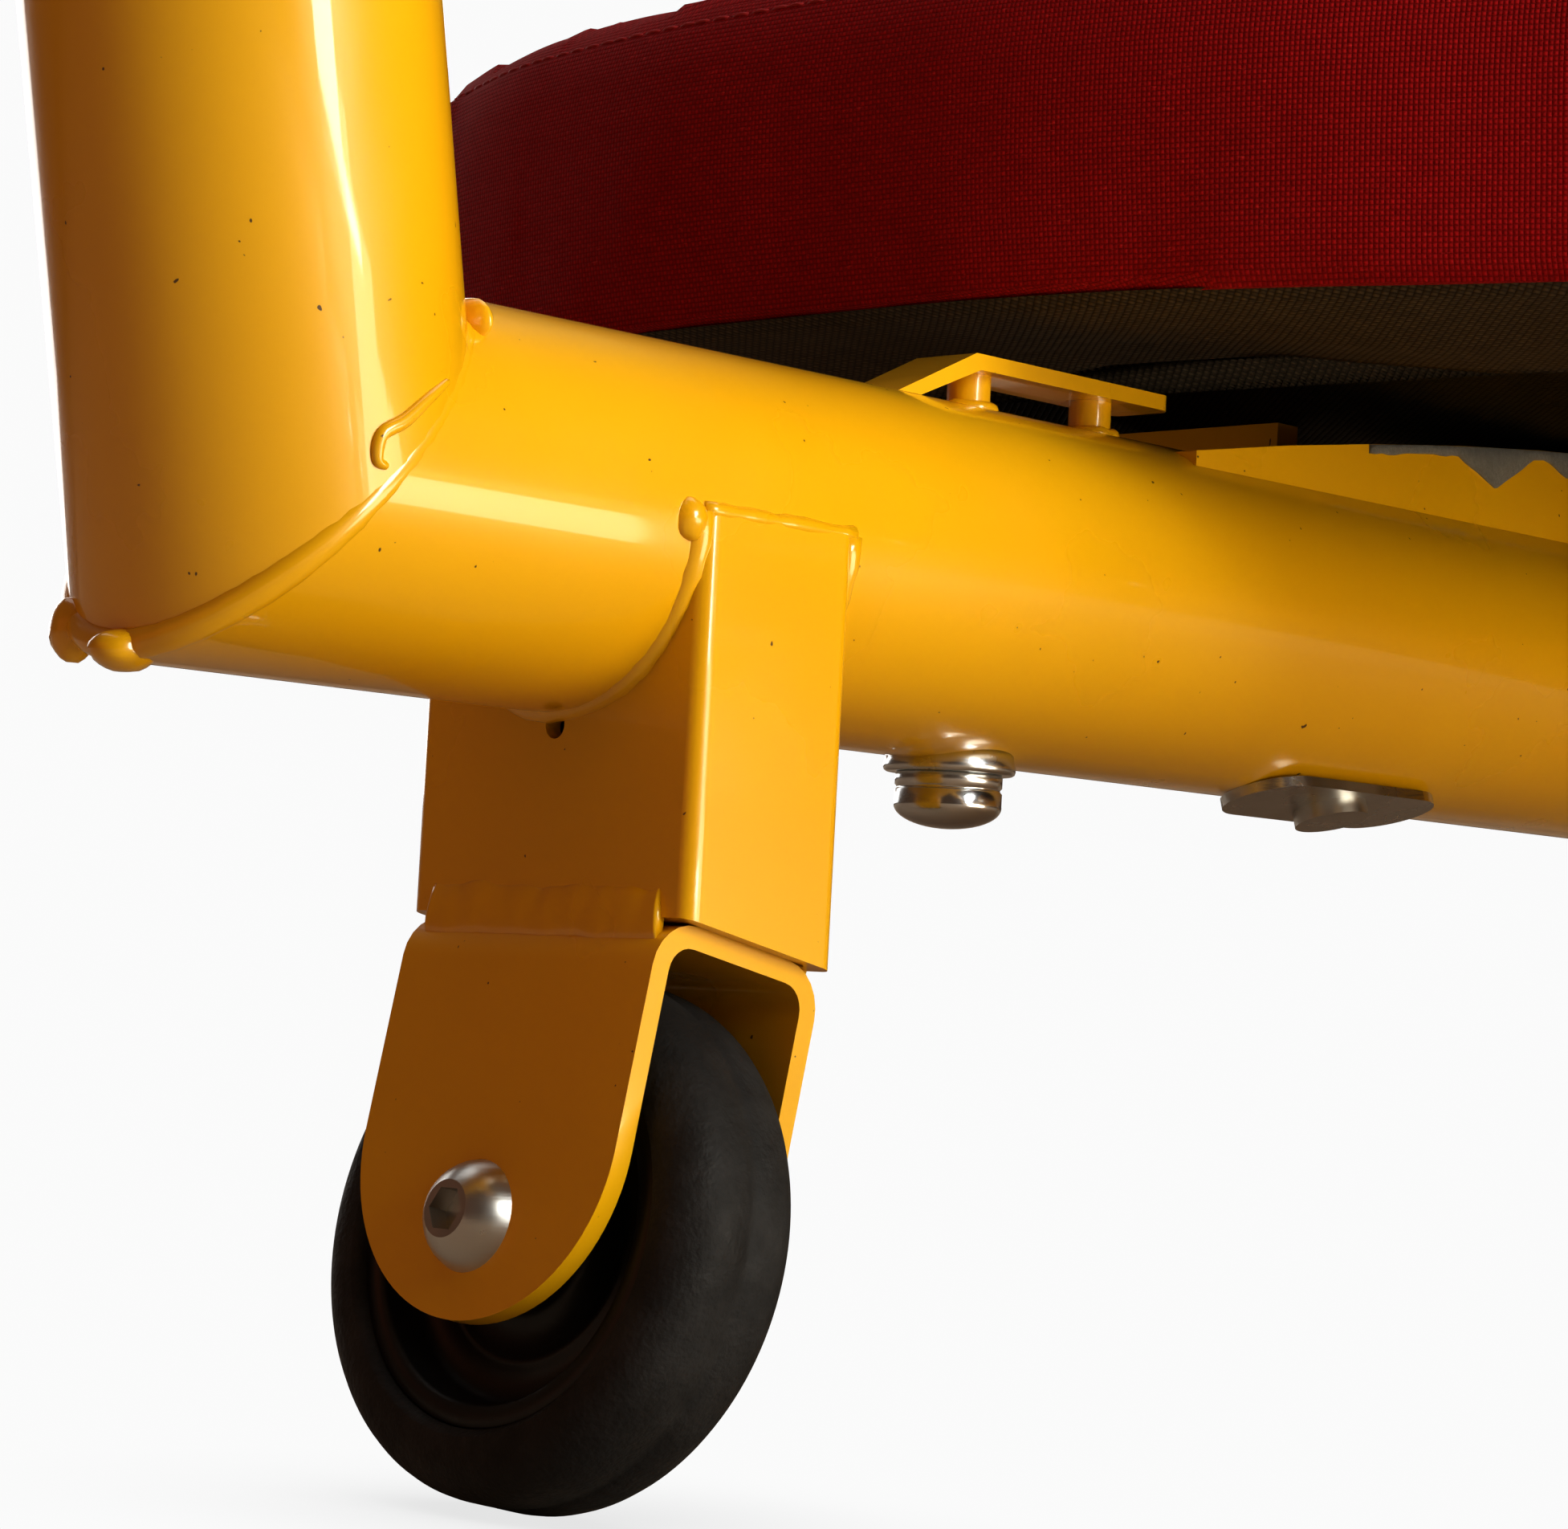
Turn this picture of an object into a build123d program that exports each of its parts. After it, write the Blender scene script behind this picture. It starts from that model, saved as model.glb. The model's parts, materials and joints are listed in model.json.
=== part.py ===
from build123d import *
import os
from math import cos, sin, radians, sqrt, pi

# Mechanics creeper. +X across, +Y towards the head end, +Z up, origin on the floor
# under the middle of the bounding box. All sizes in millimetres.

# Round tube frame
TUBE_D = 48.3
TUBE_WALL = 2.5
TUBE_R = TUBE_D / 2
HALF_TRACK = 322.0          # centre plane to the corner where a cross tube meets a side rail
RAIL_LEAN = 12.95           # side rails lean outboard by this many degrees
LEG_TAPER = 3.0             # rail legs lean towards each other by this many degrees
LEG_LENGTH = 170.0          # corner to the side rail's own top corner
RAIL_BEND = 110.0           # centreline radius of the side rail's bends
WELD_RUNOUT = 60.0          # stock left past a corner before the mitre cut
SPINE_W, SPINE_H, SPINE_WALL = 60.0, 30.0, 2.0

# Wheel posts and fixed forks at the head end
POST_T, POST_W, POST_WALL = 26.0, 50.0, 2.5
POST_OUTBOARD = 47.5        # corner to the post's outboard face
POST_DROP = 48.9            # cross tube axis to the low end of that face
POST_CORNER = 2.0
CAMBER = radians(11.45)     # fixed wheels are splayed by this angle
FORK_OUT, FORK_PLATE, FORK_W = 29.0, 2.8, 45.0
FORK_OVERHANG = 1.7         # fork side plate past the post's outboard face
FORK_BEND = 3.4             # inside bend radius
FORK_LENGTH = 51.0
AXLE_DROP = 38.2            # fork's top face to the axle
DRAIN_R = 1.7
DRAIN_FALL = 1.4            # tube's underside to the drain hole's centre

# Wheels
WHEEL_R, WHEEL_W, TYRE_INNER_R = 33.4, 20.0, 25.0
SHOULDER_R = 6.0
HUB_W, HUB_RIM_W, BOSS_R, WEB_OUTER_R, WEB_W = 22.4, 17.0, 9.5, 21.5, 5.0
SLEEVE_R, BOLT_R = 6.0, 4.0
RUN_CLEARANCE = 0.05
BORE_CLEARANCE = 0.1
HEAD_R, HEAD_T, HEAD_FLAT_R = 7.0, 4.4, 3.6
SOCKET_AF, SOCKET_DEPTH = 5.0, 2.8
WASHER_R, WASHER_T = 8.0, 1.6
NUT_AF, NUT_T = 13.0, 7.5

# Swivel casters at the foot end
TRAIL = 22.0
CASTER_FORK_TOP = 74.0
BALL_R, BALL_RING_R, BALL_COUNT = 2.5, 14.0, 12
BALL_GAP = 0.05
CASTER_PLATE_T, CASTER_PLATE_X, CASTER_PLATE_Y = 3.0, 44.0, 60.0
KINGPIN_R, KINGPIN_HEAD_R, KINGPIN_HEAD_T = 5.0, 8.0, 3.0
CASTER_PLATE_CORNER = 6.0
CUP_GAP, CUP_WALL, CUP_RISE = 0.3, 2.0, 3.5   # race cup round the ball ring
FORK_TOP_LENGTH, FORK_TOP_DEPTH, FORK_EYE_R = 46.0, 12.0, 11.0

# Deck, pad and headrest, heights above the cross tubes' axis
PAD_BOTTOM, PAD_TOP = 38.6, 90.8
DECK_T, DECK_INSET = 9.0, 9.0
COVER_T, COVER_INSET = 1.5, 5.0
LOBE_R = 205.0              # half the width of the pad's shoulders and hips
LOBE_AHEAD = 20.0           # shoulder lobe's centre past the head cross tube
SHOULDER_STRAIGHT = 30.0    # straight side past the shoulder lobe's centre
WAIST_HALF = 161.0
WAIST_R_HEAD, WAIST_R_FOOT = 400.0, 900.0
HEADREST_HALF, HEADREST_DEPTH, HEADREST_TOP = 105.0, 103.0, 76.0
HEADREST_CORNER = 45.0
HEADREST_GAP = 22.0         # end of the pad to the headrest's pivot
PIVOT_Z = 44.0
ARM_X, ARM_T = 110.0, 5.0
LUG_T = 3.0

# Small fittings under and on the head cross tube, distances inboard from the corner
CLEAT_POSTS = (120.8, 146.5)
CLEAT_FOOT, CLEAT_BEND, CLEAT_TO = 100.0, 116.0, 158.0
CLEAT_GAP, CLEAT_T, CLEAT_W, CLEAT_POST_R = 4.4, 2.2, 11.0, 3.0
CLEAT_BOLT_R, DOME_BARREL_R, DOME_BARREL_T, DOME_BALL_R = 3.0, 7.3, 4.5, 10.2
DOME_WASHER_R, DOME_WASHER_T = 9.0, 1.6
CLIP_FROM, CLIP_TO, CLIP_SCREW_X, CLIP_T, CLIP_W = 176.0, 218.0, 197.0, 1.5, 15.0
CLIP_TURN = -16.0           # degrees round the tube, towards the foot end
CLIP_HEAD_R, CLIP_HEAD_T, CLIP_SHANK_R, CLIP_SHANK = 5.5, 2.2, 2.4, 6.0
SADDLE_HALF, SADDLE_W, SADDLE_WALL = 168.0, 27.0, 2.5
SADDLE_END_FALL = 2.0       # saddle's ends below the top of the tube
SADDLE_BASE = 8.0           # saddle's lower edge above the tube's axis
CROSSBAR_LENGTH, CROSSBAR_W = 300.0, 30.0
CROSSBAR_COUNT = 3

# Worked out from the dimensions above
FORK_AXIS = Vector(cos(CAMBER), 0, -sin(CAMBER))
FORK_UP = Vector(sin(CAMBER), 0, cos(CAMBER))
TREAD_HALF = WHEEL_W / 2 - SHOULDER_R
AXLE_ALONG = FORK_OUT / 2 - FORK_OVERHANG
AXLE_FALL = POST_DROP + AXLE_ALONG * sin(CAMBER) + AXLE_DROP * cos(CAMBER)
TUBE_Z = AXLE_FALL + (WHEEL_R - SHOULDER_R) * cos(CAMBER) + TREAD_HALF * sin(CAMBER) + SHOULDER_R

HEAD_TANGENT = (WAIST_R_HEAD + WAIST_HALF) / (WAIST_R_HEAD + LOBE_R)
FOOT_TANGENT = (WAIST_R_FOOT + WAIST_HALF) / (WAIST_R_FOOT + LOBE_R)
HEAD_RISE = (WAIST_R_HEAD + LOBE_R) * sqrt(1 - HEAD_TANGENT ** 2)
FOOT_RISE = (WAIST_R_FOOT + LOBE_R) * sqrt(1 - FOOT_TANGENT ** 2)
PAD_HEAD = LOBE_AHEAD + LOBE_R
PAD_FOOT = HEAD_RISE + FOOT_RISE - LOBE_AHEAD + LOBE_R
HEADREST_NEAR = PAD_HEAD + HEADREST_GAP
OBJECT_HEAD = HEADREST_NEAR + 2.0 + HEADREST_DEPTH
HEAD_Y = (PAD_FOOT - OBJECT_HEAD) / 2
LOBE_HEAD_Y = HEAD_Y + LOBE_AHEAD
WAIST_Y = LOBE_HEAD_Y - HEAD_RISE
LOBE_FOOT_Y = WAIST_Y - FOOT_RISE
FOOT_Y = LOBE_FOOT_Y
PIVOT_Y = HEAD_Y + HEADREST_NEAR
POST_X = HALF_TRACK - POST_OUTBOARD - POST_T / 2

nodes = {}


def rod(start, end, radius):
    """A round bar between two points."""
    start, end = Vector(*start), Vector(*end)
    return Solid.make_cylinder(radius, (end - start).length, Plane(origin=start, z_dir=end - start))


def block(x0, x1, y0, y1, z0, z1):
    """A box given by its faces."""
    return Pos((x0 + x1) / 2, (y0 + y1) / 2, (z0 + z1) / 2) * Box(x1 - x0, y1 - y0, z1 - z0)


def hexagon(plane, across_flats, height):
    """A hexagonal prism standing on a plane."""
    return extrude(plane * RegularPolygon(across_flats / 2, 6, major_radius=False), height)


def mirrored(shape):
    return mirror(shape, about=Plane.YZ)


def group(shapes):
    """Separate solids held together as one node."""
    solids = []
    for shape in shapes:
        solids += shape.solids()
    return Compound(solids)


def both(shape):
    """A left-hand shape and its right-hand twin, as separate solids of one node."""
    return group([shape, mirrored(shape)])


def leg_direction(end):
    """Unit vector up the left rail's leg; end is +1 at the head and -1 at the foot."""
    lean, taper = radians(RAIL_LEAN), radians(LEG_TAPER)
    return Vector(-sin(lean) * cos(taper), -end * sin(taper), cos(lean) * cos(taper))


def corner(y):
    return Vector(-HALF_TRACK, y, TUBE_Z)


def mitre(y, end):
    return Plane(origin=corner(y), z_dir=Vector(1, 0, 0) - leg_direction(end))


def cross_tube(y, end):
    reach = HALF_TRACK + WELD_RUNOUT
    outer = rod((-reach, y, TUBE_Z), (reach, y, TUBE_Z), TUBE_R)
    inner = rod((-reach, y, TUBE_Z), (reach, y, TUBE_Z), TUBE_R - TUBE_WALL)
    tube = split(Part(outer.wrapped) - inner, bisect_by=mitre(y, end), keep=Keep.TOP)
    return split(mirrored(tube), bisect_by=mitre(y, end), keep=Keep.TOP)


def side_rail():
    """The left rail: a leg up from each cross tube and the grab rail between them."""
    head, foot = corner(HEAD_Y), corner(FOOT_Y)
    path = FilletPolyline(
        head - leg_direction(1) * WELD_RUNOUT,
        head + leg_direction(1) * LEG_LENGTH,
        foot + leg_direction(-1) * LEG_LENGTH,
        foot - leg_direction(-1) * WELD_RUNOUT,
        radius=RAIL_BEND,
    )
    start = Plane(origin=path @ 0, z_dir=path % 0)
    outer = sweep(start * Circle(TUBE_R), path=path)
    inner = sweep(start * Circle(TUBE_R - TUBE_WALL), path=path)
    rail = split(outer - inner, bisect_by=mitre(HEAD_Y, 1), keep=Keep.BOTTOM)
    return split(rail, bisect_by=mitre(FOOT_Y, -1), keep=Keep.BOTTOM)


def tube_body(y):
    """The solid space of a cross tube, for coping what is welded to it."""
    return rod((-HALF_TRACK, y, TUBE_Z), (HALF_TRACK, y, TUBE_Z), TUBE_R)


def spine():
    profile = Rectangle(SPINE_W, SPINE_H) - Rectangle(SPINE_W - 2 * SPINE_WALL, SPINE_H - 2 * SPINE_WALL)
    start = Plane(origin=(0, HEAD_Y, TUBE_Z), x_dir=(1, 0, 0), z_dir=(0, -1, 0))
    bar = extrude(start * profile, HEAD_Y - FOOT_Y)
    return bar - tube_body(HEAD_Y) - tube_body(FOOT_Y)


def post_tube(y, low):
    """A rectangular tube that wraps the lower half of a cross tube."""
    outer = RectangleRounded(POST_T, POST_W, POST_CORNER)
    inner = RectangleRounded(POST_T - 2 * POST_WALL, POST_W - 2 * POST_WALL, POST_CORNER / 3)
    tube = extrude(Pos(-POST_X, y, low) * (outer - inner), TUBE_Z - low)
    return tube - tube_body(y)


def fork_plane():
    origin = Vector(-POST_X - POST_T / 2, HEAD_Y, TUBE_Z - POST_DROP)
    return Plane(origin=origin, x_dir=FORK_AXIS, z_dir=FORK_UP)


def wheel_post():
    """Left post at the head end, cut at the camber angle and drilled for drainage."""
    tube = post_tube(HEAD_Y, TUBE_Z - POST_DROP - POST_T)
    tube = split(tube, bisect_by=fork_plane(), keep=Keep.TOP)
    face = -POST_X - POST_T / 2
    drain = TUBE_Z - TUBE_R - DRAIN_FALL
    return tube - rod((face - 5, HEAD_Y, drain), (face + 5, HEAD_Y, drain), DRAIN_R)


def fork_shape():
    """The folded fork in its own frame: X along the axle, Z up, top face at Z = 0."""
    left, right = -FORK_OVERHANG, FORK_OUT - FORK_OVERHANG
    deep = FORK_LENGTH + 1
    outer = block(left, right, -FORK_W / 2, FORK_W / 2, -deep, 0)
    outer = fillet(outer.edges().filter_by(Axis.Y).group_by(Axis.Z)[-1], FORK_BEND + FORK_PLATE)
    inner = block(left + FORK_PLATE, right - FORK_PLATE, -FORK_W, FORK_W, -2 * deep, -FORK_PLATE)
    inner = fillet(inner.edges().filter_by(Axis.Y).group_by(Axis.Z)[-1], FORK_BEND)
    round_z = -(FORK_LENGTH - FORK_W / 2)
    outline = block(left - 1, right + 1, -FORK_W / 2, FORK_W / 2, round_z, 1)
    outline += rod((left - 1, 0, round_z), (right + 1, 0, round_z), FORK_W / 2)
    hole = rod((left - 1, 0, -AXLE_DROP), (right + 1, 0, -AXLE_DROP), BOLT_R + BORE_CLEARANCE)
    return (outer - inner) & outline - hole


def head_fork():
    return fork_plane() * fork_shape()


def head_axle_plane():
    """Middle of the left wheel at the head end, Z along its axle, inboard."""
    origin = fork_plane().origin + FORK_AXIS * AXLE_ALONG - FORK_UP * AXLE_DROP
    return Plane(origin=origin, x_dir=(0, 1, 0), z_dir=FORK_AXIS)


def caster_axle_plane():
    origin = Vector(-POST_X, FOOT_Y - TRAIL, WHEEL_R)
    return Plane(origin=origin, x_dir=(0, 1, 0), z_dir=(1, 0, 0))


def tyre(plane):
    ring = Cylinder(WHEEL_R, WHEEL_W)
    ring = fillet(ring.edges().filter_by(GeomType.CIRCLE), SHOULDER_R)
    return plane * (ring - Cylinder(TYRE_INNER_R, WHEEL_W))


def hub(plane):
    body = Cylinder(TYRE_INNER_R, HUB_RIM_W) + Cylinder(BOSS_R, HUB_W)
    recess = Cylinder(WEB_OUTER_R, HUB_W) - Cylinder(BOSS_R, HUB_W)
    recess -= Cylinder(WEB_OUTER_R, WEB_W)
    return plane * (body - recess - Cylinder(SLEEVE_R + RUN_CLEARANCE, HUB_W))


def axle_sleeve(plane):
    gap = FORK_OUT - 2 * FORK_PLATE
    return plane * (Cylinder(SLEEVE_R, gap) - Cylinder(BOLT_R + BORE_CLEARANCE, gap))


def button_head(height, radius, flat, socket, depth):
    """A domed socket head on the XY plane, top towards -Z."""
    drop = (radius ** 2 - flat ** 2 - height ** 2) / (2 * height)
    ball = Pos(0, 0, drop) * Sphere(sqrt(radius ** 2 + drop ** 2))
    dome = ball & rod((0, 0, -height), (0, 0, 0), 2 * radius)
    return dome - hexagon(Plane(origin=(0, 0, -height)), socket, depth)


def axle_bolt(plane):
    """Button-head socket bolt from the outboard side, with a tail for its nut."""
    outer = -FORK_OUT / 2
    shank = rod((0, 0, outer), (0, 0, -outer + WASHER_T + NUT_T + 2), BOLT_R)
    head = Pos(0, 0, outer) * button_head(HEAD_T, HEAD_R, HEAD_FLAT_R, SOCKET_AF, SOCKET_DEPTH)
    return plane * (Part(shank.wrapped) + head)


def axle_washer(plane):
    face = FORK_OUT / 2
    ring = rod((0, 0, face), (0, 0, face + WASHER_T), WASHER_R)
    return plane * (Part(ring.wrapped) - rod((0, 0, face), (0, 0, face + WASHER_T), BOLT_R))


def axle_nut(plane):
    face = FORK_OUT / 2 + WASHER_T
    nut = hexagon(Plane(origin=(0, 0, face)), NUT_AF, NUT_T)
    return plane * (nut - rod((0, 0, face), (0, 0, face + NUT_T), BOLT_R))


def caster_post():
    """Left post at the foot end, down to the caster's top plate."""
    return post_tube(FOOT_Y, CASTER_FORK_TOP + 2 * (BALL_R + BALL_GAP) + CASTER_PLATE_T)


def caster_plate():
    low = CASTER_FORK_TOP + 2 * (BALL_R + BALL_GAP)
    plate = Pos(-POST_X, FOOT_Y, low) * RectangleRounded(
        CASTER_PLATE_X, CASTER_PLATE_Y, CASTER_PLATE_CORNER
    )
    return extrude(plate, CASTER_PLATE_T) - rod((-POST_X, FOOT_Y, 0), (-POST_X, FOOT_Y, TUBE_Z), KINGPIN_R)


def kingpin():
    top = CASTER_FORK_TOP + 2 * (BALL_R + BALL_GAP) + CASTER_PLATE_T
    under = CASTER_FORK_TOP - FORK_PLATE - 3 * RUN_CLEARANCE
    pin = rod((-POST_X, FOOT_Y, under), (-POST_X, FOOT_Y, top), KINGPIN_R)
    head = rod((-POST_X, FOOT_Y, under - KINGPIN_HEAD_T), (-POST_X, FOOT_Y, under), KINGPIN_HEAD_R)
    return Part(pin.wrapped) + head


def bearing_balls():
    """Left swivel's ball ring, one solid per ball."""
    z = CASTER_FORK_TOP + BALL_R + BALL_GAP
    ring = PolarLocations(BALL_RING_R, BALL_COUNT)
    return group([Pos(-POST_X, FOOT_Y, z) * spot * Sphere(BALL_R) for spot in ring])


def caster_fork():
    """Left swivel fork: folded plates, raked back to the axle, with a race cup on top."""
    half = FORK_OUT / 2
    stem = Pos(-POST_X, FOOT_Y, 0)
    top = Pos(0, CASTER_FORK_TOP - FORK_TOP_DEPTH / 2) * Rectangle(FORK_TOP_LENGTH, FORK_TOP_DEPTH)
    side = Plane.YZ * make_hull(top.edges() + (Pos(-TRAIL, WHEEL_R) * Circle(FORK_EYE_R)).edges())
    outer = extrude(side, half, both=True)
    outer = fillet(outer.edges().filter_by(Axis.Y).group_by(Axis.Z)[-1], FORK_BEND + FORK_PLATE)
    inner = block(-half + FORK_PLATE, half - FORK_PLATE, -FORK_W, FORK_W, 0, CASTER_FORK_TOP - FORK_PLATE)
    inner = fillet(inner.edges().filter_by(Axis.Y).group_by(Axis.Z)[-1], FORK_BEND)
    cup_r = BALL_RING_R + BALL_R + CUP_GAP
    cup_high = CASTER_FORK_TOP + CUP_RISE
    fork = outer - inner
    fork += rod((0, 0, CASTER_FORK_TOP - FORK_PLATE), (0, 0, cup_high), cup_r + CUP_WALL)
    fork -= rod((0, 0, CASTER_FORK_TOP), (0, 0, 2 * cup_high), cup_r)
    fork -= rod((0, 0, WHEEL_R), (0, 0, 2 * cup_high), KINGPIN_R + RUN_CLEARANCE)
    fork -= rod((-FORK_OUT, -TRAIL, WHEEL_R), (FORK_OUT, -TRAIL, WHEEL_R), BOLT_R + BORE_CLEARANCE)
    return stem * fork


def waist_arc(inset, centre_y, tangent, waist_r, end):
    """Left waist arc's far end and middle, where it runs into a lobe."""
    centre = Vector(0, centre_y)
    turn = Vector(-tangent, -end * sqrt(1 - tangent ** 2))
    hollow = centre + turn * (LOBE_R + waist_r)
    middle = hollow - (turn + Vector(-1, 0)).normalized() * (waist_r + inset)
    return centre + turn * (LOBE_R - inset), middle


def shoulder(joint, inset):
    """Points of the left shoulder: lobe arc, straight side and corner arc."""
    centre = Vector(0, LOBE_HEAD_Y)
    side = centre - Vector(LOBE_R - inset, 0)
    lobe_middle = centre + (joint + side - centre * 2).normalized() * (LOBE_R - inset)
    top = side + Vector(0, SHOULDER_STRAIGHT)
    turn = centre + Vector(-SHOULDER_STRAIGHT, SHOULDER_STRAIGHT)
    corner_r = LOBE_R - SHOULDER_STRAIGHT - inset
    return lobe_middle, side, top, turn + Vector(-1, 1).normalized() * corner_r, turn + Vector(0, corner_r)


def pad_outline(inset):
    """Shoulders with straight sides, waist and round hips, all tangent."""
    waist = Vector(-WAIST_HALF + inset, WAIST_Y)
    head_joint, head_middle = waist_arc(inset, LOBE_HEAD_Y, HEAD_TANGENT, WAIST_R_HEAD, 1)
    foot_joint, foot_middle = waist_arc(inset, LOBE_FOOT_Y, FOOT_TANGENT, WAIST_R_FOOT, -1)
    lobe_middle, side, top, corner_middle, head_end = shoulder(head_joint, inset)

    def across(point):
        return Vector(-point.X, point.Y)

    tip = Vector(0, LOBE_FOOT_Y - LOBE_R + inset)
    edges = [ThreePointArc(foot_joint, tip, across(foot_joint)), Line(head_end, across(head_end))]
    for arc in (
        (foot_joint, foot_middle, waist),
        (waist, head_middle, head_joint),
        (head_joint, lobe_middle, side),
        (top, corner_middle, head_end),
    ):
        edges += [ThreePointArc(*arc), ThreePointArc(*map(across, arc))]
    edges += [Line(side, top), Line(across(side), across(top))]
    return make_face(edges)


def pad_layer(inset, low, high):
    return extrude(Pos(0, 0, TUBE_Z + low) * pad_outline(inset), high - low)


def headrest_layer(inset, low, high):
    outline = RectangleRounded(
        2 * (HEADREST_HALF - inset), HEADREST_DEPTH - 2 * inset, HEADREST_CORNER - inset
    )
    y = PIVOT_Y + 2 + HEADREST_DEPTH / 2
    return extrude(Pos(0, y, TUBE_Z + low) * outline, high - low)


def saddle(y):
    """Arched, open-bottomed pressing on a cross tube that carries the deck's end."""
    high = PAD_BOTTOM - COVER_T
    rise = high - TUBE_R + SADDLE_END_FALL
    radius = (SADDLE_HALF ** 2 + rise ** 2) / (2 * rise)

    def arch(top, half):
        crown = Vector(0, TUBE_Z + top)
        left = Vector(-half, TUBE_Z + top - radius + sqrt(radius ** 2 - half ** 2))
        right = Vector(half, left.Y)
        base = [Vector(half, TUBE_Z + SADDLE_BASE), Vector(-half, TUBE_Z + SADDLE_BASE)]
        edges = [ThreePointArc(left, crown, right), Polyline(right, base[0], base[1], left)]
        return make_face(edges)

    middle = Plane(origin=(0, y, 0), x_dir=(1, 0, 0), z_dir=(0, -1, 0))
    outer = extrude(middle * arch(high, SADDLE_HALF), SADDLE_W / 2, both=True)
    inner = extrude(
        middle * arch(high - SADDLE_WALL, SADDLE_HALF - SADDLE_WALL),
        SADDLE_W / 2 - SADDLE_WALL,
        both=True,
    )
    return outer - inner - tube_body(y)


def crossbar_places():
    step = (HEAD_Y - FOOT_Y) / (CROSSBAR_COUNT + 1)
    return [FOOT_Y + step * (i + 1) for i in range(CROSSBAR_COUNT)]


def crossbar(y):
    """Rectangular tube on the spine, under the deck."""
    low, high = TUBE_Z + SPINE_H / 2, TUBE_Z + PAD_BOTTOM - COVER_T
    half = CROSSBAR_LENGTH / 2
    outer = block(-half, half, y - CROSSBAR_W / 2, y + CROSSBAR_W / 2, low, high)
    inner = block(-half, half, y - CROSSBAR_W / 2 + 2, y + CROSSBAR_W / 2 - 2, low + 2, high - 2)
    return outer - inner


def deck_screw(x, y, low):
    shank = rod((x, y, low), (x, y, TUBE_Z + PAD_BOTTOM + DECK_T - 2), 2.5)
    head = rod((x, y, low - 3), (x, y, low), 5.0)
    return Part(shank.wrapped) + head


def deck_screws():
    low = TUBE_Z + SPINE_H / 2
    spots = [(x, y) for y in crossbar_places() for x in (-120, -60, 60, 120)]
    return group([deck_screw(x, y, low) for x, y in spots])


def cleat():
    """Left strap cleat: a flat bar on two stub posts, its outboard end bent down to the tube."""
    base = TUBE_Z + TUBE_R
    foot, bend, far = (-HALF_TRACK + reach for reach in (CLEAT_FOOT, CLEAT_BEND, CLEAT_TO))
    low, high = base + CLEAT_GAP, base + CLEAT_GAP + CLEAT_T
    flat = [(far, low), (far, high), (bend, high)]
    leg = [(foot, base - 1), (foot + 2 * CLEAT_T, base - 1), (bend + 1, low)]
    outline = Polyline(*flat, *leg, close=True)
    middle = Plane(origin=(0, HEAD_Y, 0), x_dir=(1, 0, 0), z_dir=(0, -1, 0))
    bar = extrude(middle * make_face(outline), CLEAT_W / 2, both=True)
    shape = fillet(bar.edges().filter_by(Axis.Z).group_by(Axis.X)[-1], CLEAT_T)
    for reach in CLEAT_POSTS:
        x = -HALF_TRACK + reach
        shape += rod((x, HEAD_Y, base - 1), (x, HEAD_Y, low + CLEAT_T / 2), CLEAT_POST_R)
    return shape - tube_body(HEAD_Y)


def cleat_bolt():
    """Left bolt up through the head cross tube, with its dome nut's thread end."""
    x = -HALF_TRACK + CLEAT_POSTS[0]
    low = TUBE_Z - TUBE_R - DOME_WASHER_T - DOME_BARREL_T
    return rod((x, HEAD_Y, low), (x, HEAD_Y, TUBE_Z + TUBE_R - TUBE_WALL), CLEAT_BOLT_R)


def dome_nut():
    """Left dome nut: a round barrel closed by the cap of a ball."""
    x, top = -HALF_TRACK + CLEAT_POSTS[0], TUBE_Z - TUBE_R - DOME_WASHER_T
    neck = top - DOME_BARREL_T
    barrel = rod((x, HEAD_Y, neck), (x, HEAD_Y, top), DOME_BARREL_R)
    rise = sqrt(DOME_BALL_R ** 2 - DOME_BARREL_R ** 2)
    ball = Pos(x, HEAD_Y, neck + rise) * Sphere(DOME_BALL_R)
    cap = ball & rod((x, HEAD_Y, neck - DOME_BALL_R), (x, HEAD_Y, neck), 2 * DOME_BARREL_R)
    return Part(barrel.wrapped) + cap - cleat_bolt()


def dome_washer():
    """Left washer, its upper face hollowed to sit on the tube."""
    x, low = -HALF_TRACK + CLEAT_POSTS[0], TUBE_Z - TUBE_R - DOME_WASHER_T
    disc = Part(rod((x, HEAD_Y, low), (x, HEAD_Y, low + 3 * DOME_WASHER_T), DOME_WASHER_R).wrapped)
    return disc - tube_body(HEAD_Y) - cleat_bolt()


def clip_place():
    """Frame of the clips, with its origin on the tube's axis and turned round it."""
    return Pos(0, HEAD_Y, TUBE_Z) * Rot(CLIP_TURN, 0, 0)


def clip_plate():
    """Left clip: a small round-ended plate against the tube."""
    x0, x1 = -HALF_TRACK + CLIP_FROM, -HALF_TRACK + CLIP_TO
    plate = block(x0, x1, -CLIP_W / 2, CLIP_W / 2, -TUBE_R - CLIP_T, -TUBE_R)
    plate = fillet(plate.edges().filter_by(Axis.Z), CLIP_W / 2 - 0.1)
    return clip_place() * plate - clip_screw()


def clip_screw():
    x = -HALF_TRACK + CLIP_SCREW_X
    seat = -TUBE_R - CLIP_T
    head = rod((x, 0, seat - CLIP_HEAD_T), (x, 0, seat), CLIP_HEAD_R)
    shank = rod((x, 0, seat), (x, 0, -TUBE_R + CLIP_SHANK), CLIP_SHANK_R)
    return clip_place() * (Part(head.wrapped) + shank)


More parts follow.
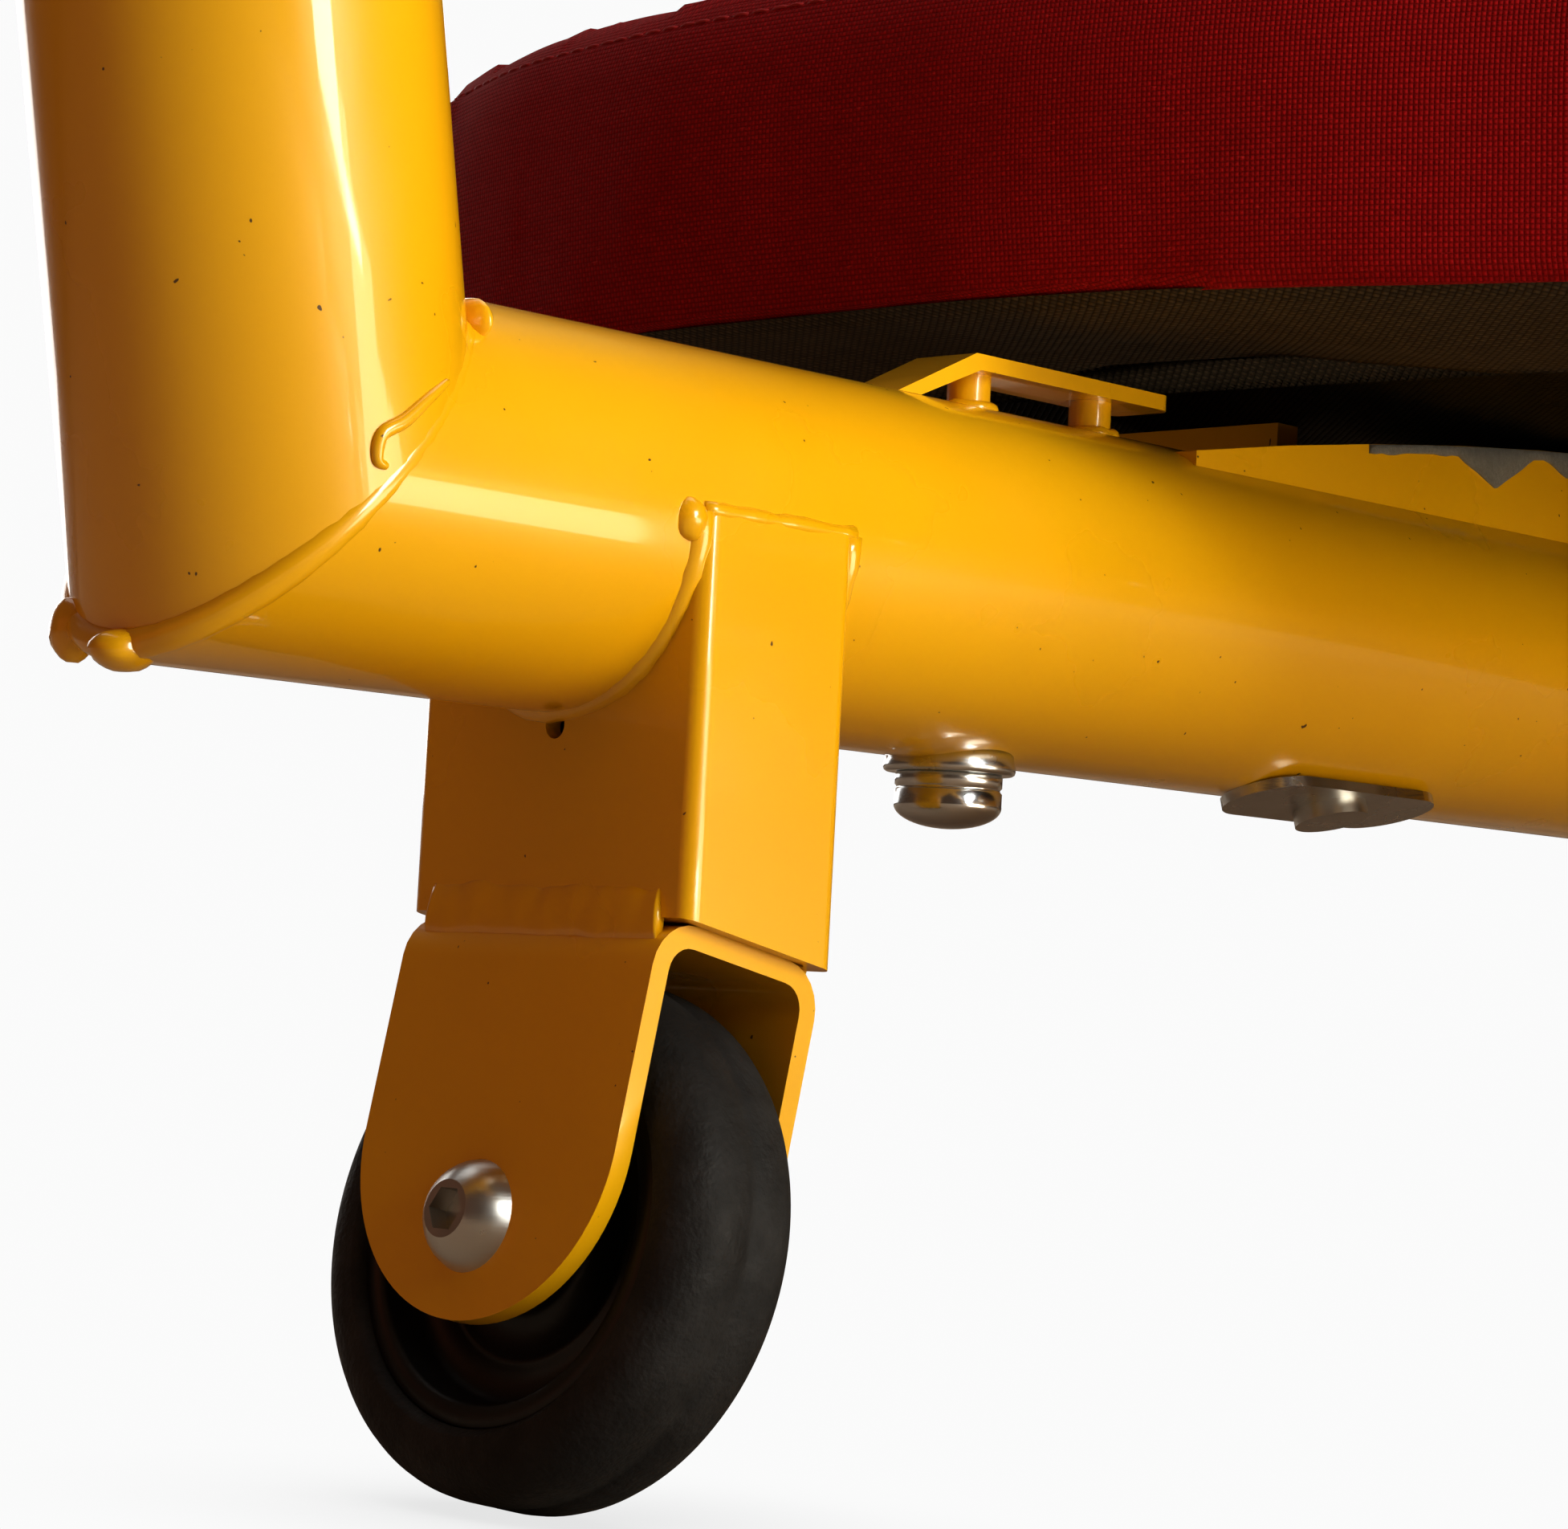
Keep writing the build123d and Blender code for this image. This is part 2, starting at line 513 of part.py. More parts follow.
def headrest_arm():
    """Left arm: a bar on edge from the saddle's back to the headrest's pivot eye."""
    eye = TUBE_Z + PIVOT_Z
    reach = PIVOT_Y - 14
    near = HEAD_Y + SADDLE_W / 2
    bar = block(-ARM_X - ARM_T, -ARM_X, near, reach, TUBE_Z + 13, TUBE_Z + 35)
    side = Plane.YZ * make_hull(
        (Pos(reach - 9, TUBE_Z + 24) * Rectangle(18, 22)).edges() + (Pos(PIVOT_Y, eye) * Circle(10)).edges()
    )
    bar += Pos(-ARM_X - ARM_T, 0, 0) * extrude(side, ARM_T)
    hole = rod((-ARM_X - ARM_T - 1, PIVOT_Y, eye), (-ARM_X + 1, PIVOT_Y, eye), BOLT_R)
    return bar - tube_body(HEAD_Y) - hole


def pivot_bolt():
    eye = TUBE_Z + PIVOT_Z
    inner = -ARM_X + 0.5 + LUG_T + 0.3
    shank = rod((-ARM_X - ARM_T - 6, PIVOT_Y, eye), (inner, PIVOT_Y, eye), BOLT_R)
    return Part(shank.wrapped) + rod((inner, PIVOT_Y, eye), (inner + 1.2, PIVOT_Y, eye), 6.5)


def pivot_knob():
    """Left clamping knob: a round body with six grip lobes."""
    eye = TUBE_Z + PIVOT_Z
    x0 = -ARM_X - ARM_T
    knob = Part(rod((x0 - 14, PIVOT_Y, eye), (x0, PIVOT_Y, eye), 11).wrapped)
    for i in range(6):
        y = PIVOT_Y + 11 * cos(i * pi / 3)
        z = eye + 11 * sin(i * pi / 3)
        knob += rod((x0 - 12, y, z), (x0 - 3, y, z), 4.5)
    return knob - pivot_bolt()


def headrest_bracket():
    """Plate under the headrest board with a pivot lug at each end."""
    eye, under = TUBE_Z + PIVOT_Z, TUBE_Z + PAD_BOTTOM
    outer = ARM_X - 0.5
    plate = block(-outer, outer, PIVOT_Y + 14, PIVOT_Y + 54, under - LUG_T, under)
    hole = rod((-ARM_X, PIVOT_Y, eye), (ARM_X, PIVOT_Y, eye), BOLT_R + RUN_CLEARANCE)
    side = Plane.YZ * make_hull(
        (Pos(PIVOT_Y + 34, under) * Rectangle(40, 2 * LUG_T)).edges()
        + (Pos(PIVOT_Y, eye) * Circle(9)).edges()
    )
    lug = Pos(-outer, 0, 0) * extrude(side, LUG_T)
    return plate + lug + mirrored(lug) - hole


def add(name, shape):
    solids = shape.solids()
    nodes[name] = solids[0] if len(solids) == 1 else Compound(solids)


def add_frame():
    add("head_cross_tube", cross_tube(HEAD_Y, 1) - mount_holes())
    add("foot_cross_tube", cross_tube(FOOT_Y, -1))
    rail = side_rail()
    add("left_side_rail", rail)
    add("right_side_rail", mirrored(rail))
    add("spine_tube", spine())
    for name, shape in (("head_{}_wheel_post", wheel_post()), ("foot_{}_caster_post", caster_post())):
        add(name.format("left"), shape)
        add(name.format("right"), mirrored(shape))
    add("deck_saddles", group([saddle(HEAD_Y), saddle(FOOT_Y)]))
    screws = deck_screws()
    add("deck_crossbars", group([crossbar(y) for y in crossbar_places()]) - screws)
    add("deck_screws", screws)
    add("underside_cover", pad_layer(COVER_INSET, PAD_BOTTOM - COVER_T, PAD_BOTTOM) - screws)
    board = pad_layer(DECK_INSET, PAD_BOTTOM, PAD_BOTTOM + DECK_T)
    add("deck_board", board - screws)
    add("main_cushion", pad_layer(0, PAD_BOTTOM, PAD_TOP) - board)


def mount_holes():
    """What is drilled in the head cross tube: its two bolts and two clip screws."""
    return both(cleat_bolt()).solids() + both(clip_screw()).solids()


def add_fittings():
    add("strap_cleats", both(cleat()))
    add("cleat_bolts", both(Part(cleat_bolt().wrapped)))
    add("dome_nuts", both(dome_nut()))
    add("dome_nut_washers", both(dome_washer()))
    add("clip_plates", both(clip_plate()))
    add("clip_screws", both(clip_screw()))


def add_head_wheels():
    plane = head_axle_plane()
    fork = head_fork()
    add("head_left_fork", fork)
    add("head_right_fork", mirrored(fork))
    add("head_axle_bolts", both(axle_bolt(plane)))
    add("head_axle_washers", both(axle_washer(plane)))
    add("head_axle_nuts", both(axle_nut(plane)))
    add("head_axle_sleeves", both(axle_sleeve(plane)))
    for part_name, shape in (("tyre", tyre(plane)), ("hub", hub(plane))):
        add(f"head_left_{part_name}", shape)
        add(f"head_right_{part_name}", mirrored(shape))


def add_casters():
    plane = caster_axle_plane()
    pieces = {
        "caster_plate": caster_plate(),
        "kingpin": kingpin(),
        "bearing_balls": bearing_balls(),
        "caster_fork": caster_fork(),
        "axle_bolt": axle_bolt(plane),
        "axle_nut": axle_nut(plane) + axle_washer(plane),
        "axle_sleeve": axle_sleeve(plane),
        "tyre": tyre(plane),
        "hub": hub(plane),
    }
    for part_name, shape in pieces.items():
        add(f"foot_left_{part_name}", shape)
        add(f"foot_right_{part_name}", mirrored(shape))


def add_headrest():
    arm = headrest_arm()
    add("headrest_left_arm", arm)
    add("headrest_right_arm", mirrored(arm))
    add("headrest_pivot_bolts", both(pivot_bolt()))
    add("headrest_knobs", both(pivot_knob()))
    add("headrest_bracket", headrest_bracket())
    board = headrest_layer(DECK_INSET, PAD_BOTTOM, PAD_BOTTOM + DECK_T)
    add("headrest_board", board)
    add("headrest_cushion", headrest_layer(0, PAD_BOTTOM, HEADREST_TOP) - board)


def main():
    add_frame()
    add_fittings()
    add_head_wheels()
    add_casters()
    add_headrest()
    os.makedirs("parts", exist_ok=True)
    for name, shape in nodes.items():
        export_step(shape, f"parts/{name}.step")
    print(len(nodes), "nodes, cross tube axis", round(TUBE_Z, 2), "head tube y", round(HEAD_Y, 2))


main()
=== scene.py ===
import json
import math

import bpy
import bmesh
from mathutils import Matrix, Vector, noise
from mathutils.bvhtree import BVHTree
from mathutils.kdtree import KDTree


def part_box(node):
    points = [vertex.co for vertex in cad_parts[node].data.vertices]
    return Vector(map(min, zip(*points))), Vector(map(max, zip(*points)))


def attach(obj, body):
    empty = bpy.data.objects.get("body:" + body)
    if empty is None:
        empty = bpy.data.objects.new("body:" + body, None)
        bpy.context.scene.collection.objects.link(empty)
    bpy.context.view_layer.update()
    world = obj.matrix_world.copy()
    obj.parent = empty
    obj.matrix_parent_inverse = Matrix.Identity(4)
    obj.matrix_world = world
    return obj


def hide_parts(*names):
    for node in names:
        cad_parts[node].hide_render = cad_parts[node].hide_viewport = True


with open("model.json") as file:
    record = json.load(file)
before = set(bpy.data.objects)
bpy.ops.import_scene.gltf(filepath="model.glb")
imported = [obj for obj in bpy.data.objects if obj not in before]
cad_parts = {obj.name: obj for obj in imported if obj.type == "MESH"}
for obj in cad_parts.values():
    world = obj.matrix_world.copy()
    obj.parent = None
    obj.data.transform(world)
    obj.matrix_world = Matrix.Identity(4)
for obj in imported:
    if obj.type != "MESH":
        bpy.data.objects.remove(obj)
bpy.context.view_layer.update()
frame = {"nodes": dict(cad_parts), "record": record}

NODES = frame["nodes"]

# ---------------------------------------------------------------- sizes, metres
TUBE_R = 0.02415
HALF_TRACK = 0.322
RAIL_LEAN = math.radians(12.95)
LEG_TAPER = math.radians(3.0)
CAMBER = math.radians(11.45)
POST_T, POST_W = 0.026, 0.050
POST_OUTBOARD = 0.0475
POST_DROP = 0.0489
FORK_OVERHANG = 0.0017
FORK_OUT, FORK_W, FORK_PLATE, FORK_BEND, FORK_LENGTH = 0.029, 0.045, 0.0028, 0.0034, 0.051
AXLE_DROP = 0.0382
WHEEL_R, WHEEL_W, TYRE_INNER_R, SHOULDER_R = 0.0334, 0.020, 0.025, 0.006
TRAIL = 0.022
LOBE_R, SHOULDER_STRAIGHT = 0.205, 0.030
WAIST_HALF = 0.161
WAIST_R_HEAD, WAIST_R_FOOT = 0.400, 0.900
HEADREST_CORNER = 0.045
BOARD_INSET, BOARD_T, BOARD_GAP = 0.009, 0.009, 0.0001
FORK_RIM = 0.0007              # rounding of the fork's cut edges
FORK_ACROSS = 24               # faces across the fork's strip
TIP_TURNS = range(88, -1, -4)  # degrees round the fork's tip, from its end to its straight side
BEND_TURNS = range(15, 91, 15)
SIDE_ROWS = 5
CLEAT_POSTS = (0.1208, 0.1465)
CLEAT_POST_R = 0.003

tube_low, tube_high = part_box("head_cross_tube")
foot_low, foot_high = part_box("foot_cross_tube")
pad_low, pad_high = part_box("main_cushion")
rest_low, rest_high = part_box("headrest_cushion")
HEAD_Y = (tube_low.y + tube_high.y) / 2
FOOT_Y = (foot_low.y + foot_high.y) / 2
TUBE_Z = tube_low.z + TUBE_R
PAD_BOTTOM, PAD_TOP = pad_low.z, pad_high.z
LOBE_HEAD_Y = pad_high.y - LOBE_R
LOBE_FOOT_Y = pad_low.y + LOBE_R
POST_X = HALF_TRACK - POST_OUTBOARD - POST_T / 2
FORK_AXIS = Vector((math.cos(CAMBER), 0, -math.sin(CAMBER)))
FORK_UP = Vector((math.sin(CAMBER), 0, math.cos(CAMBER)))
MIRROR_X = Matrix.Diagonal((-1, 1, 1, 1))
PAPER = 0.965


# ---------------------------------------------------------------- shader helpers
class Shader:
    """A Principled material and short ways to add nodes to it."""

    def __init__(self, name, **sockets):
        self.material = bpy.data.materials.new(name)
        self.material.use_nodes = True
        self.tree = self.material.node_tree
        self.bsdf = self.tree.nodes["Principled BSDF"]
        for socket, value in sockets.items():
            self.bsdf.inputs[socket.replace("_", " ")].default_value = value

    def node(self, kind, **settings):
        made = self.tree.nodes.new(kind)
        for key, value in settings.items():
            setattr(made, key, value)
        return made

    def link(self, source, target):
        self.tree.links.new(source, target)

    def coords(self):
        return self.node("ShaderNodeTexCoord").outputs["Object"]

    def uv(self, name):
        return self.node("ShaderNodeUVMap", uv_map=name).outputs["UV"]

    def noise(self, vector, scale, detail=3.0, rough=0.5, stretch=None):
        if stretch:
            mapping = self.node("ShaderNodeMapping")
            mapping.inputs["Scale"].default_value = stretch
            self.link(vector, mapping.inputs["Vector"])
            vector = mapping.outputs["Vector"]
        tex = self.node("ShaderNodeTexNoise")
        tex.inputs["Scale"].default_value = scale
        tex.inputs["Detail"].default_value = detail
        tex.inputs["Roughness"].default_value = rough
        self.link(vector, tex.inputs["Vector"])
        return tex.outputs["Fac"]

    def math(self, operation, a, b=None):
        made = self.node("ShaderNodeMath", operation=operation)
        for slot, value in zip(made.inputs, (a, b)):
            if isinstance(value, (int, float)):
                slot.default_value = value
            elif value is not None:
                self.link(value, slot)
        return made.outputs[0]

    def remap(self, value, low, high, to_low, to_high):
        made = self.node("ShaderNodeMapRange")
        for index, number in enumerate((low, high, to_low, to_high), 1):
            made.inputs[index].default_value = number
        self.link(value, made.inputs[0])
        return made.outputs[0]

    def mix(self, factor, a, b):
        made = self.node("ShaderNodeMix", data_type="RGBA")
        self.link(factor, made.inputs["Factor"])
        for slot, value in ((made.inputs[6], a), (made.inputs[7], b)):
            if isinstance(value, tuple):
                slot.default_value = (*value, 1.0)
            else:
                self.link(value, slot)
        return made.outputs[2]

    def bump(self, height, strength, distance, after=None):
        made = self.node("ShaderNodeBump")
        made.inputs["Strength"].default_value = strength
        made.inputs["Distance"].default_value = distance
        self.link(height, made.inputs["Height"])
        if after:
            self.link(after, made.inputs["Normal"])
        return made.outputs["Normal"]

    def to(self, socket, value):
        self.link(value, self.bsdf.inputs[socket])


def powder_coat():
    """Glossy yellow powder coat: faint orange peel, slow colour drift, dust specks."""
    s = Shader("powder_coat", Coat_Weight=0.8, Coat_Roughness=0.05, Coat_IOR=1.5, Specular_IOR_Level=0.45)
    at = s.coords()
    drift = s.remap(s.noise(at, 14, 3), 0.35, 0.65, 0, 1)
    paint = s.mix(drift, (0.78, 0.42, 0.002), (0.83, 0.465, 0.003))
    specks = s.remap(s.noise(at, 700, 1), 0.79, 0.81, 0, 1)
    s.to("Base Color", s.mix(specks, paint, (0.10, 0.045, 0.01)))
    s.to("Roughness", s.remap(s.noise(at, 30, 4), 0.3, 0.7, 0.24, 0.36))
    waves = s.bump(s.noise(at, 45, 2), 0.14, 0.0006)
    s.to("Normal", s.bump(s.noise(at, 520, 2), 0.10, 0.0002, waves))
    return s.material


def plated_steel(name, colour, rough, scratch):
    """Plated steel with fine scratches and patchy roughness."""
    s = Shader(name, Metallic=1.0)
    at = s.coords()
    fine = s.noise(at, 260, 4, stretch=(1, 1, 9))
    s.to("Base Color", s.mix(s.noise(at, 60, 3), colour, tuple(0.82 * c for c in colour)))
    s.to("Roughness", s.remap(s.noise(at, 120, 5), 0.3, 0.7, rough, rough + 0.14))
    s.to("Normal", s.bump(fine, scratch, 0.0002))
    return s.material


def weave_height(s, uv_name, pitch):
    """Height of a plain weave in the surface's own metres, and which thread is on top."""
    split = s.node("ShaderNodeSeparateXYZ")
    s.link(s.uv(uv_name), split.inputs[0])
    waves = [
        s.math("SINE", s.math("MULTIPLY", split.outputs[axis], math.pi / pitch)) for axis in ("X", "Y")
    ]
    product = s.math("MULTIPLY", waves[0], waves[1])
    over = s.remap(product, -0.15, 0.15, 0, 1)
    height = s.math("ABSOLUTE", product)
    return s.math("POWER", height, 0.6), over


def canvas(name, dark, light, pitch, sheen, fuzz):
    """Coarse woven canvas: threads, colour drift, lint and slight fading, with a painted highlight and sheen
    on the raised threads and painted shade in the weave's hollows.
    """
    s = Shader(name, Sheen_Weight=sheen, Sheen_Roughness=0.45, Sheen_Tint=(*light, 1.0), Roughness=0.82)
    s.bsdf.inputs["Specular IOR Level"].default_value = 0.10
    at = s.coords()
    height, over = weave_height(s, "weave", pitch)
    # Painted highlight and shade: the colour is lighter where the weave stands high and darker in its
    # hollows. The thread lying on top is lighter still, a painted sheen.
    thread = s.math("MULTIPLY", height, s.remap(over, 0, 1, 0.55, 1.0))
    yarn = s.remap(s.noise(at, 300, 4, stretch=(1, 1, 3)), 0.3, 0.7, 0.55, 1.0)
    cloth = s.mix(s.math("MULTIPLY", thread, yarn), dark, light)
    fade = s.remap(s.noise(at, 9, 4), 0.4, 0.75, 0, 0.35)
    faded = s.mix(fade, cloth, tuple(0.6 * a + 0.4 * b for a, b in zip(light, dark)))
    lint = s.remap(s.noise(at, 420, 2, stretch=(1, 1, 5)), 0.70, 0.74, 0, fuzz)
    s.to("Base Color", s.mix(lint, faded, tuple(min(1, 2.1 * c + 0.05) for c in light)))
    slack = s.bump(s.noise(at, 26, 3), 0.35, 0.0012)
    s.to("Normal", s.bump(height, 0.75, 0.00028, slack))
    return s.material


def rubber():
    """Moulded rubber: sandy skin, scuffs and a dusty bloom."""
    s = Shader("rubber", Specular_IOR_Level=0.25)
    at = s.coords()
    scuff = s.remap(s.noise(at, 55, 5, 0.7), 0.45, 0.70, 0, 1)
    s.to("Base Color", s.mix(scuff, (0.012, 0.012, 0.0122), (0.030, 0.030, 0.0305)))
    s.to("Roughness", s.remap(s.noise(at, 160, 4), 0.3, 0.7, 0.55, 0.82))
    lumps = s.bump(s.noise(at, 320, 3), 0.30, 0.0004)
    s.to("Normal", s.bump(s.noise(at, 1300, 3), 0.7, 0.00025, lumps))
    return s.material


def black_nylon():
    s = Shader("black_nylon", Specular_IOR_Level=0.4)
    at = s.coords()
    s.to("Base Color", s.mix(s.noise(at, 40, 3), (0.003, 0.003, 0.0032), (0.007, 0.007, 0.0075)))
    s.to("Roughness", s.remap(s.noise(at, 90, 3), 0.3, 0.7, 0.34, 0.50))
    s.to("Normal", s.bump(s.noise(at, 900, 2), 0.2, 0.0002))
    return s.material


def plywood():
    """Birch ply: long grain."""
    s = Shader("plywood", Specular_IOR_Level=0.25)
    at = s.coords()
    grain = s.noise(at, 30, 5, 0.6, stretch=(6, 1, 6))
    s.to("Base Color", s.mix(grain, (0.42, 0.27, 0.14), (0.66, 0.49, 0.31)))
    s.to("Roughness", s.remap(grain, 0.3, 0.7, 0.55, 0.75))
    s.to("Normal", s.bump(grain, 0.3, 0.0004))
    return s.material


def felt():
    s = Shader("grey_felt", Sheen_Weight=0.3, Specular_IOR_Level=0.15)
    at = s.coords()
    fibres = s.noise(at, 900, 5, 0.8)
    s.to("Base Color", s.mix(fibres, (0.10, 0.10, 0.09), (0.34, 0.34, 0.30)))
    s.to("Roughness", s.remap(fibres, 0.3, 0.7, 0.8, 1.0))
    s.to("Normal", s.bump(fibres, 0.8, 0.0006))
    return s.material


def thread():
    s = Shader("red_thread", Roughness=0.7, Specular_IOR_Level=0.25)
    twist = s.noise(s.coords(), 1200, 3, stretch=(1, 1, 2))
    s.to("Base Color", s.mix(twist, (0.22, 0.006, 0.008), (0.46, 0.03, 0.035)))
    s.to("Normal", s.bump(twist, 0.5, 0.0002))
    return s.material


def pale_floor():
    """White studio paper, softly shaded by a painted contact shadow where something stands on it: the paper
    glows for the camera and ambient occlusion darkens that glow.
    """
    s = Shader("pale_floor", Roughness=0.8, Specular_IOR_Level=0.1)
    s.to("Base Color", s.mix(s.noise(s.coords(), 3, 2), (0.46, 0.36, 0.26), (0.50, 0.40, 0.30)))
    # Painted contact shadow: ambient occlusion darkens the paper's glow near anything standing on it.
    painted_contact_shadow = s.node("ShaderNodeAmbientOcclusion", samples=8)
    painted_contact_shadow.inputs["Distance"].default_value = 0.05
    paper = s.node("ShaderNodeEmission")
    s.link(s.remap(painted_contact_shadow.outputs["AO"], 0.25, 0.95, 0.80, PAPER), paper.inputs["Color"])
    mix = s.node("ShaderNodeMixShader")
    s.link(s.node("ShaderNodeLightPath").outputs["Is Camera Ray"], mix.inputs[0])
    s.link(s.bsdf.outputs[0], mix.inputs[1])
    s.link(paper.outputs[0], mix.inputs[2])
    s.link(mix.outputs[0], s.tree.nodes["Material Output"].inputs["Surface"])
    return s.material


POWDER = powder_coat()
ZINC = plated_steel("zinc_plate", (0.62, 0.63, 0.62), 0.22, 0.12)
CHROME = plated_steel("chrome_plate", (0.66, 0.69, 0.71), 0.16, 0.05)
# Of each canvas's two colours, the light one shows on the raised threads as a painted highlight and sheen,
# and the dark one shows in the weave's hollows as painted shade.
RED = canvas("red_canvas", (0.17, 0.0008, 0.0012), (0.46, 0.008, 0.012), 0.00070, 0.14, 0.22)
LINING = canvas("black_lining", (0.004, 0.003, 0.002), (0.11, 0.080, 0.045), 0.0010, 0.25, 0.06)
RUBBER = rubber()
NYLON = black_nylon()
PLY = plywood()
FELT = felt()
THREAD = thread()
SLOT_MATERIAL = {
    "powder_coat": POWDER,
    "zinc": ZINC,
    "chrome": CHROME,
    "tyre": RUBBER,
    "wheel_hub": NYLON,
    "plywood": PLY,
    "black_cloth": LINING,
    "red_canvas": RED,
    "knob_plastic": NYLON,
}


# ---------------------------------------------------------------- mesh helpers
def new_object(name, mesh, material, body="frame", smooth=True):
    obj = bpy.data.objects.new(name, mesh)
    bpy.context.scene.collection.objects.link(obj)
    mesh.materials.clear()
    mesh.materials.append(material)
    if smooth:
        mesh.shade_smooth()
    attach(obj, body)
    return obj


def mesh_from(name, verts, faces):
    mesh = bpy.data.meshes.new(name)
    mesh.from_pydata([tuple(v) for v in verts], [], faces)
    mesh.validate()
    mesh.update()
    return mesh


def lathe(profile, frame_matrix, steps=144):
    """Vertices and faces of a closed profile of (radius, along) turned about the frame's Z."""
    verts, faces, count = [], [], len(profile)
    for i in range(steps):
        turn = 2 * math.pi * i / steps
        for radius, along in profile:
            verts.append(frame_matrix @ Vector((radius * math.cos(turn), radius * math.sin(turn), along)))
    for i in range(steps):
        for j in range(count):
            a, b = i * count + j, i * count + (j + 1) % count
            c, d = (i + 1) % steps * count + (j + 1) % count, (i + 1) % steps * count + j
            faces.append((a, b, c, d))
    return verts, faces


def tube_along(points, radius_at, sides=10, closed=False, flatten=1.0, up=None):
    """A tube round a path, its radius given by a function of the share of the path."""
    verts, faces, count = [], [], len(points)
    for i, point in enumerate(points):
        before = points[(i - 1) % count] if closed or i else point
        after = points[(i + 1) % count] if closed or i < count - 1 else point
        along = (after - before).normalized()
        side = along.cross(up if up else Vector((0.3, 0.2, 0.93))).normalized()
        other = along.cross(side)
        radius = radius_at(i / max(1, count - 1))
        for k in range(sides):
            turn = 2 * math.pi * k / sides
            verts.append(point + side * radius * math.cos(turn) + other * radius * flatten * math.sin(turn))
    rings = count if closed else count - 1
    for i in range(rings):
        for k in range(sides):
            a, b = i * sides + k, i * sides + (k + 1) % sides
            c, d = (i + 1) % count * sides + (k + 1) % sides, (i + 1) % count * sides + k
            faces.append((a, b, c, d))
    if not closed:
        faces.append(tuple(range(sides - 1, -1, -1)))
        faces.append(tuple(range((count - 1) * sides, count * sides)))
    return verts, faces


def blob(centre, size, seed, rings=12, sides=18, rough=0.10):
    """A lumpy ellipsoid, for a drop of weld metal under paint."""
    verts, faces = [centre - Vector((0, 0, size[2]))], []
    for i in range(1, rings):
        tilt = math.pi * i / rings
        for k in range(sides):
            turn = 2 * math.pi * k / sides
            way = Vector((math.sin(tilt) * math.cos(turn), math.sin(tilt) * math.sin(turn), -math.cos(tilt)))
            swell = 1 + rough * noise.noise(way * 1.7 + Vector((seed, 0, 0)))
            verts.append(centre + Vector([way[n] * size[n] * swell for n in range(3)]))
    verts.append(centre + Vector((0, 0, size[2])))
    last = len(verts) - 1
    for k in range(sides):
        faces.append((0, 1 + (k + 1) % sides, 1 + k))
        faces.append((last, last - sides + k, last - sides + (k + 1) % sides))
    for i in range(rings - 2):
        for k in range(sides):
            a, b = 1 + i * sides + k, 1 + i * sides + (k + 1) % sides
            faces.append((a, b, b + sides, a + sides))
    return verts, faces


class Pieces:
    """Several shells gathered into one mesh."""

    def __init__(self):
        self.verts, self.faces = [], []

    def add(self, made, matrix=None):
        verts, faces = made
        start = len(self.verts)
        flip = matrix is not None and matrix.determinant() < 0
        for vert in verts:
            self.verts.append(matrix @ vert if matrix else vert)
        for face in faces:
            shifted = tuple(start + index for index in face)
            self.faces.append(shifted[::-1] if flip else shifted)

    def add_both(self, made):
        self.add(made)
        self.add(made, MIRROR_X)

    def build(self, name, material, body="frame"):
        return new_object(name, mesh_from(name, self.verts, self.faces), material, body)


def evaluated_mesh(obj):
    graph = bpy.context.evaluated_depsgraph_get()
    return bpy.data.meshes.new_from_object(obj.evaluated_get(graph), depsgraph=graph)


# ---------------------------------------------------------------- CAD nodes' materials
def dress_cad_nodes():
    slots = {entry["node"]: entry["material_slot"] for entry in frame["record"]["subparts"]}
    for name, obj in NODES.items():
        obj.data.materials.clear()
        obj.data.materials.append(SLOT_MATERIAL[slots[name]])


def soften_edges(names, width):
    """Rounds the cut edges of sheet and tube stock, which powder coat fills."""
    for name in names:
        obj = NODES[name]
        weld = obj.modifiers.new("weld", "WELD")
        weld.merge_threshold = 1e-6
        bevel = obj.modifiers.new("bevel", "BEVEL")
        bevel.width = width
        bevel.segments = 3
        bevel.limit_method = "ANGLE"
        bevel.angle_limit = math.radians(38)
        obj.modifiers.new("flat_faces", "WEIGHTED_NORMAL")


# ---------------------------------------------------------------- welds
def leg_direction(end):
    return Vector((
        -math.sin(RAIL_LEAN) * math.cos(LEG_TAPER),
        -end * math.sin(LEG_TAPER),
        math.cos(RAIL_LEAN) * math.cos(LEG_TAPER),
    ))


def mitre_path(y, end, steps=96):
    """The seam between a cross tube's left end and the side rail's leg."""
    normal = Vector((1, 0, 0)) - leg_direction(end)
    corner = Vector((-HALF_TRACK, y, TUBE_Z))
    points = []
    for i in range(steps):
        turn = 2 * math.pi * i / steps
        across, up = TUBE_R * math.cos(turn), TUBE_R * math.sin(turn)
        along = -(normal.y * across + normal.z * up) / normal.x
        points.append(corner + Vector((along, across, up)))
    return points


def bead_radius(size, seed, ripples, rough=0.25, even=0.05):
    """Radius of a weld bead: even ripples with some wander."""
    def radius(share):
        ripple = even * math.sin(2 * math.pi * ripples * share)
        wander = rough * noise.noise(Vector((share * 9.0, seed, 0.5)))
        return size * (1 + ripple + wander)
    return radius


def on_seam(path, turn, along=0.0, end=1):
    """A point a share of the way round a mitre seam, moved along the rail's leg."""
    return path[round(turn * len(path)) % len(path)] + leg_direction(end) * along


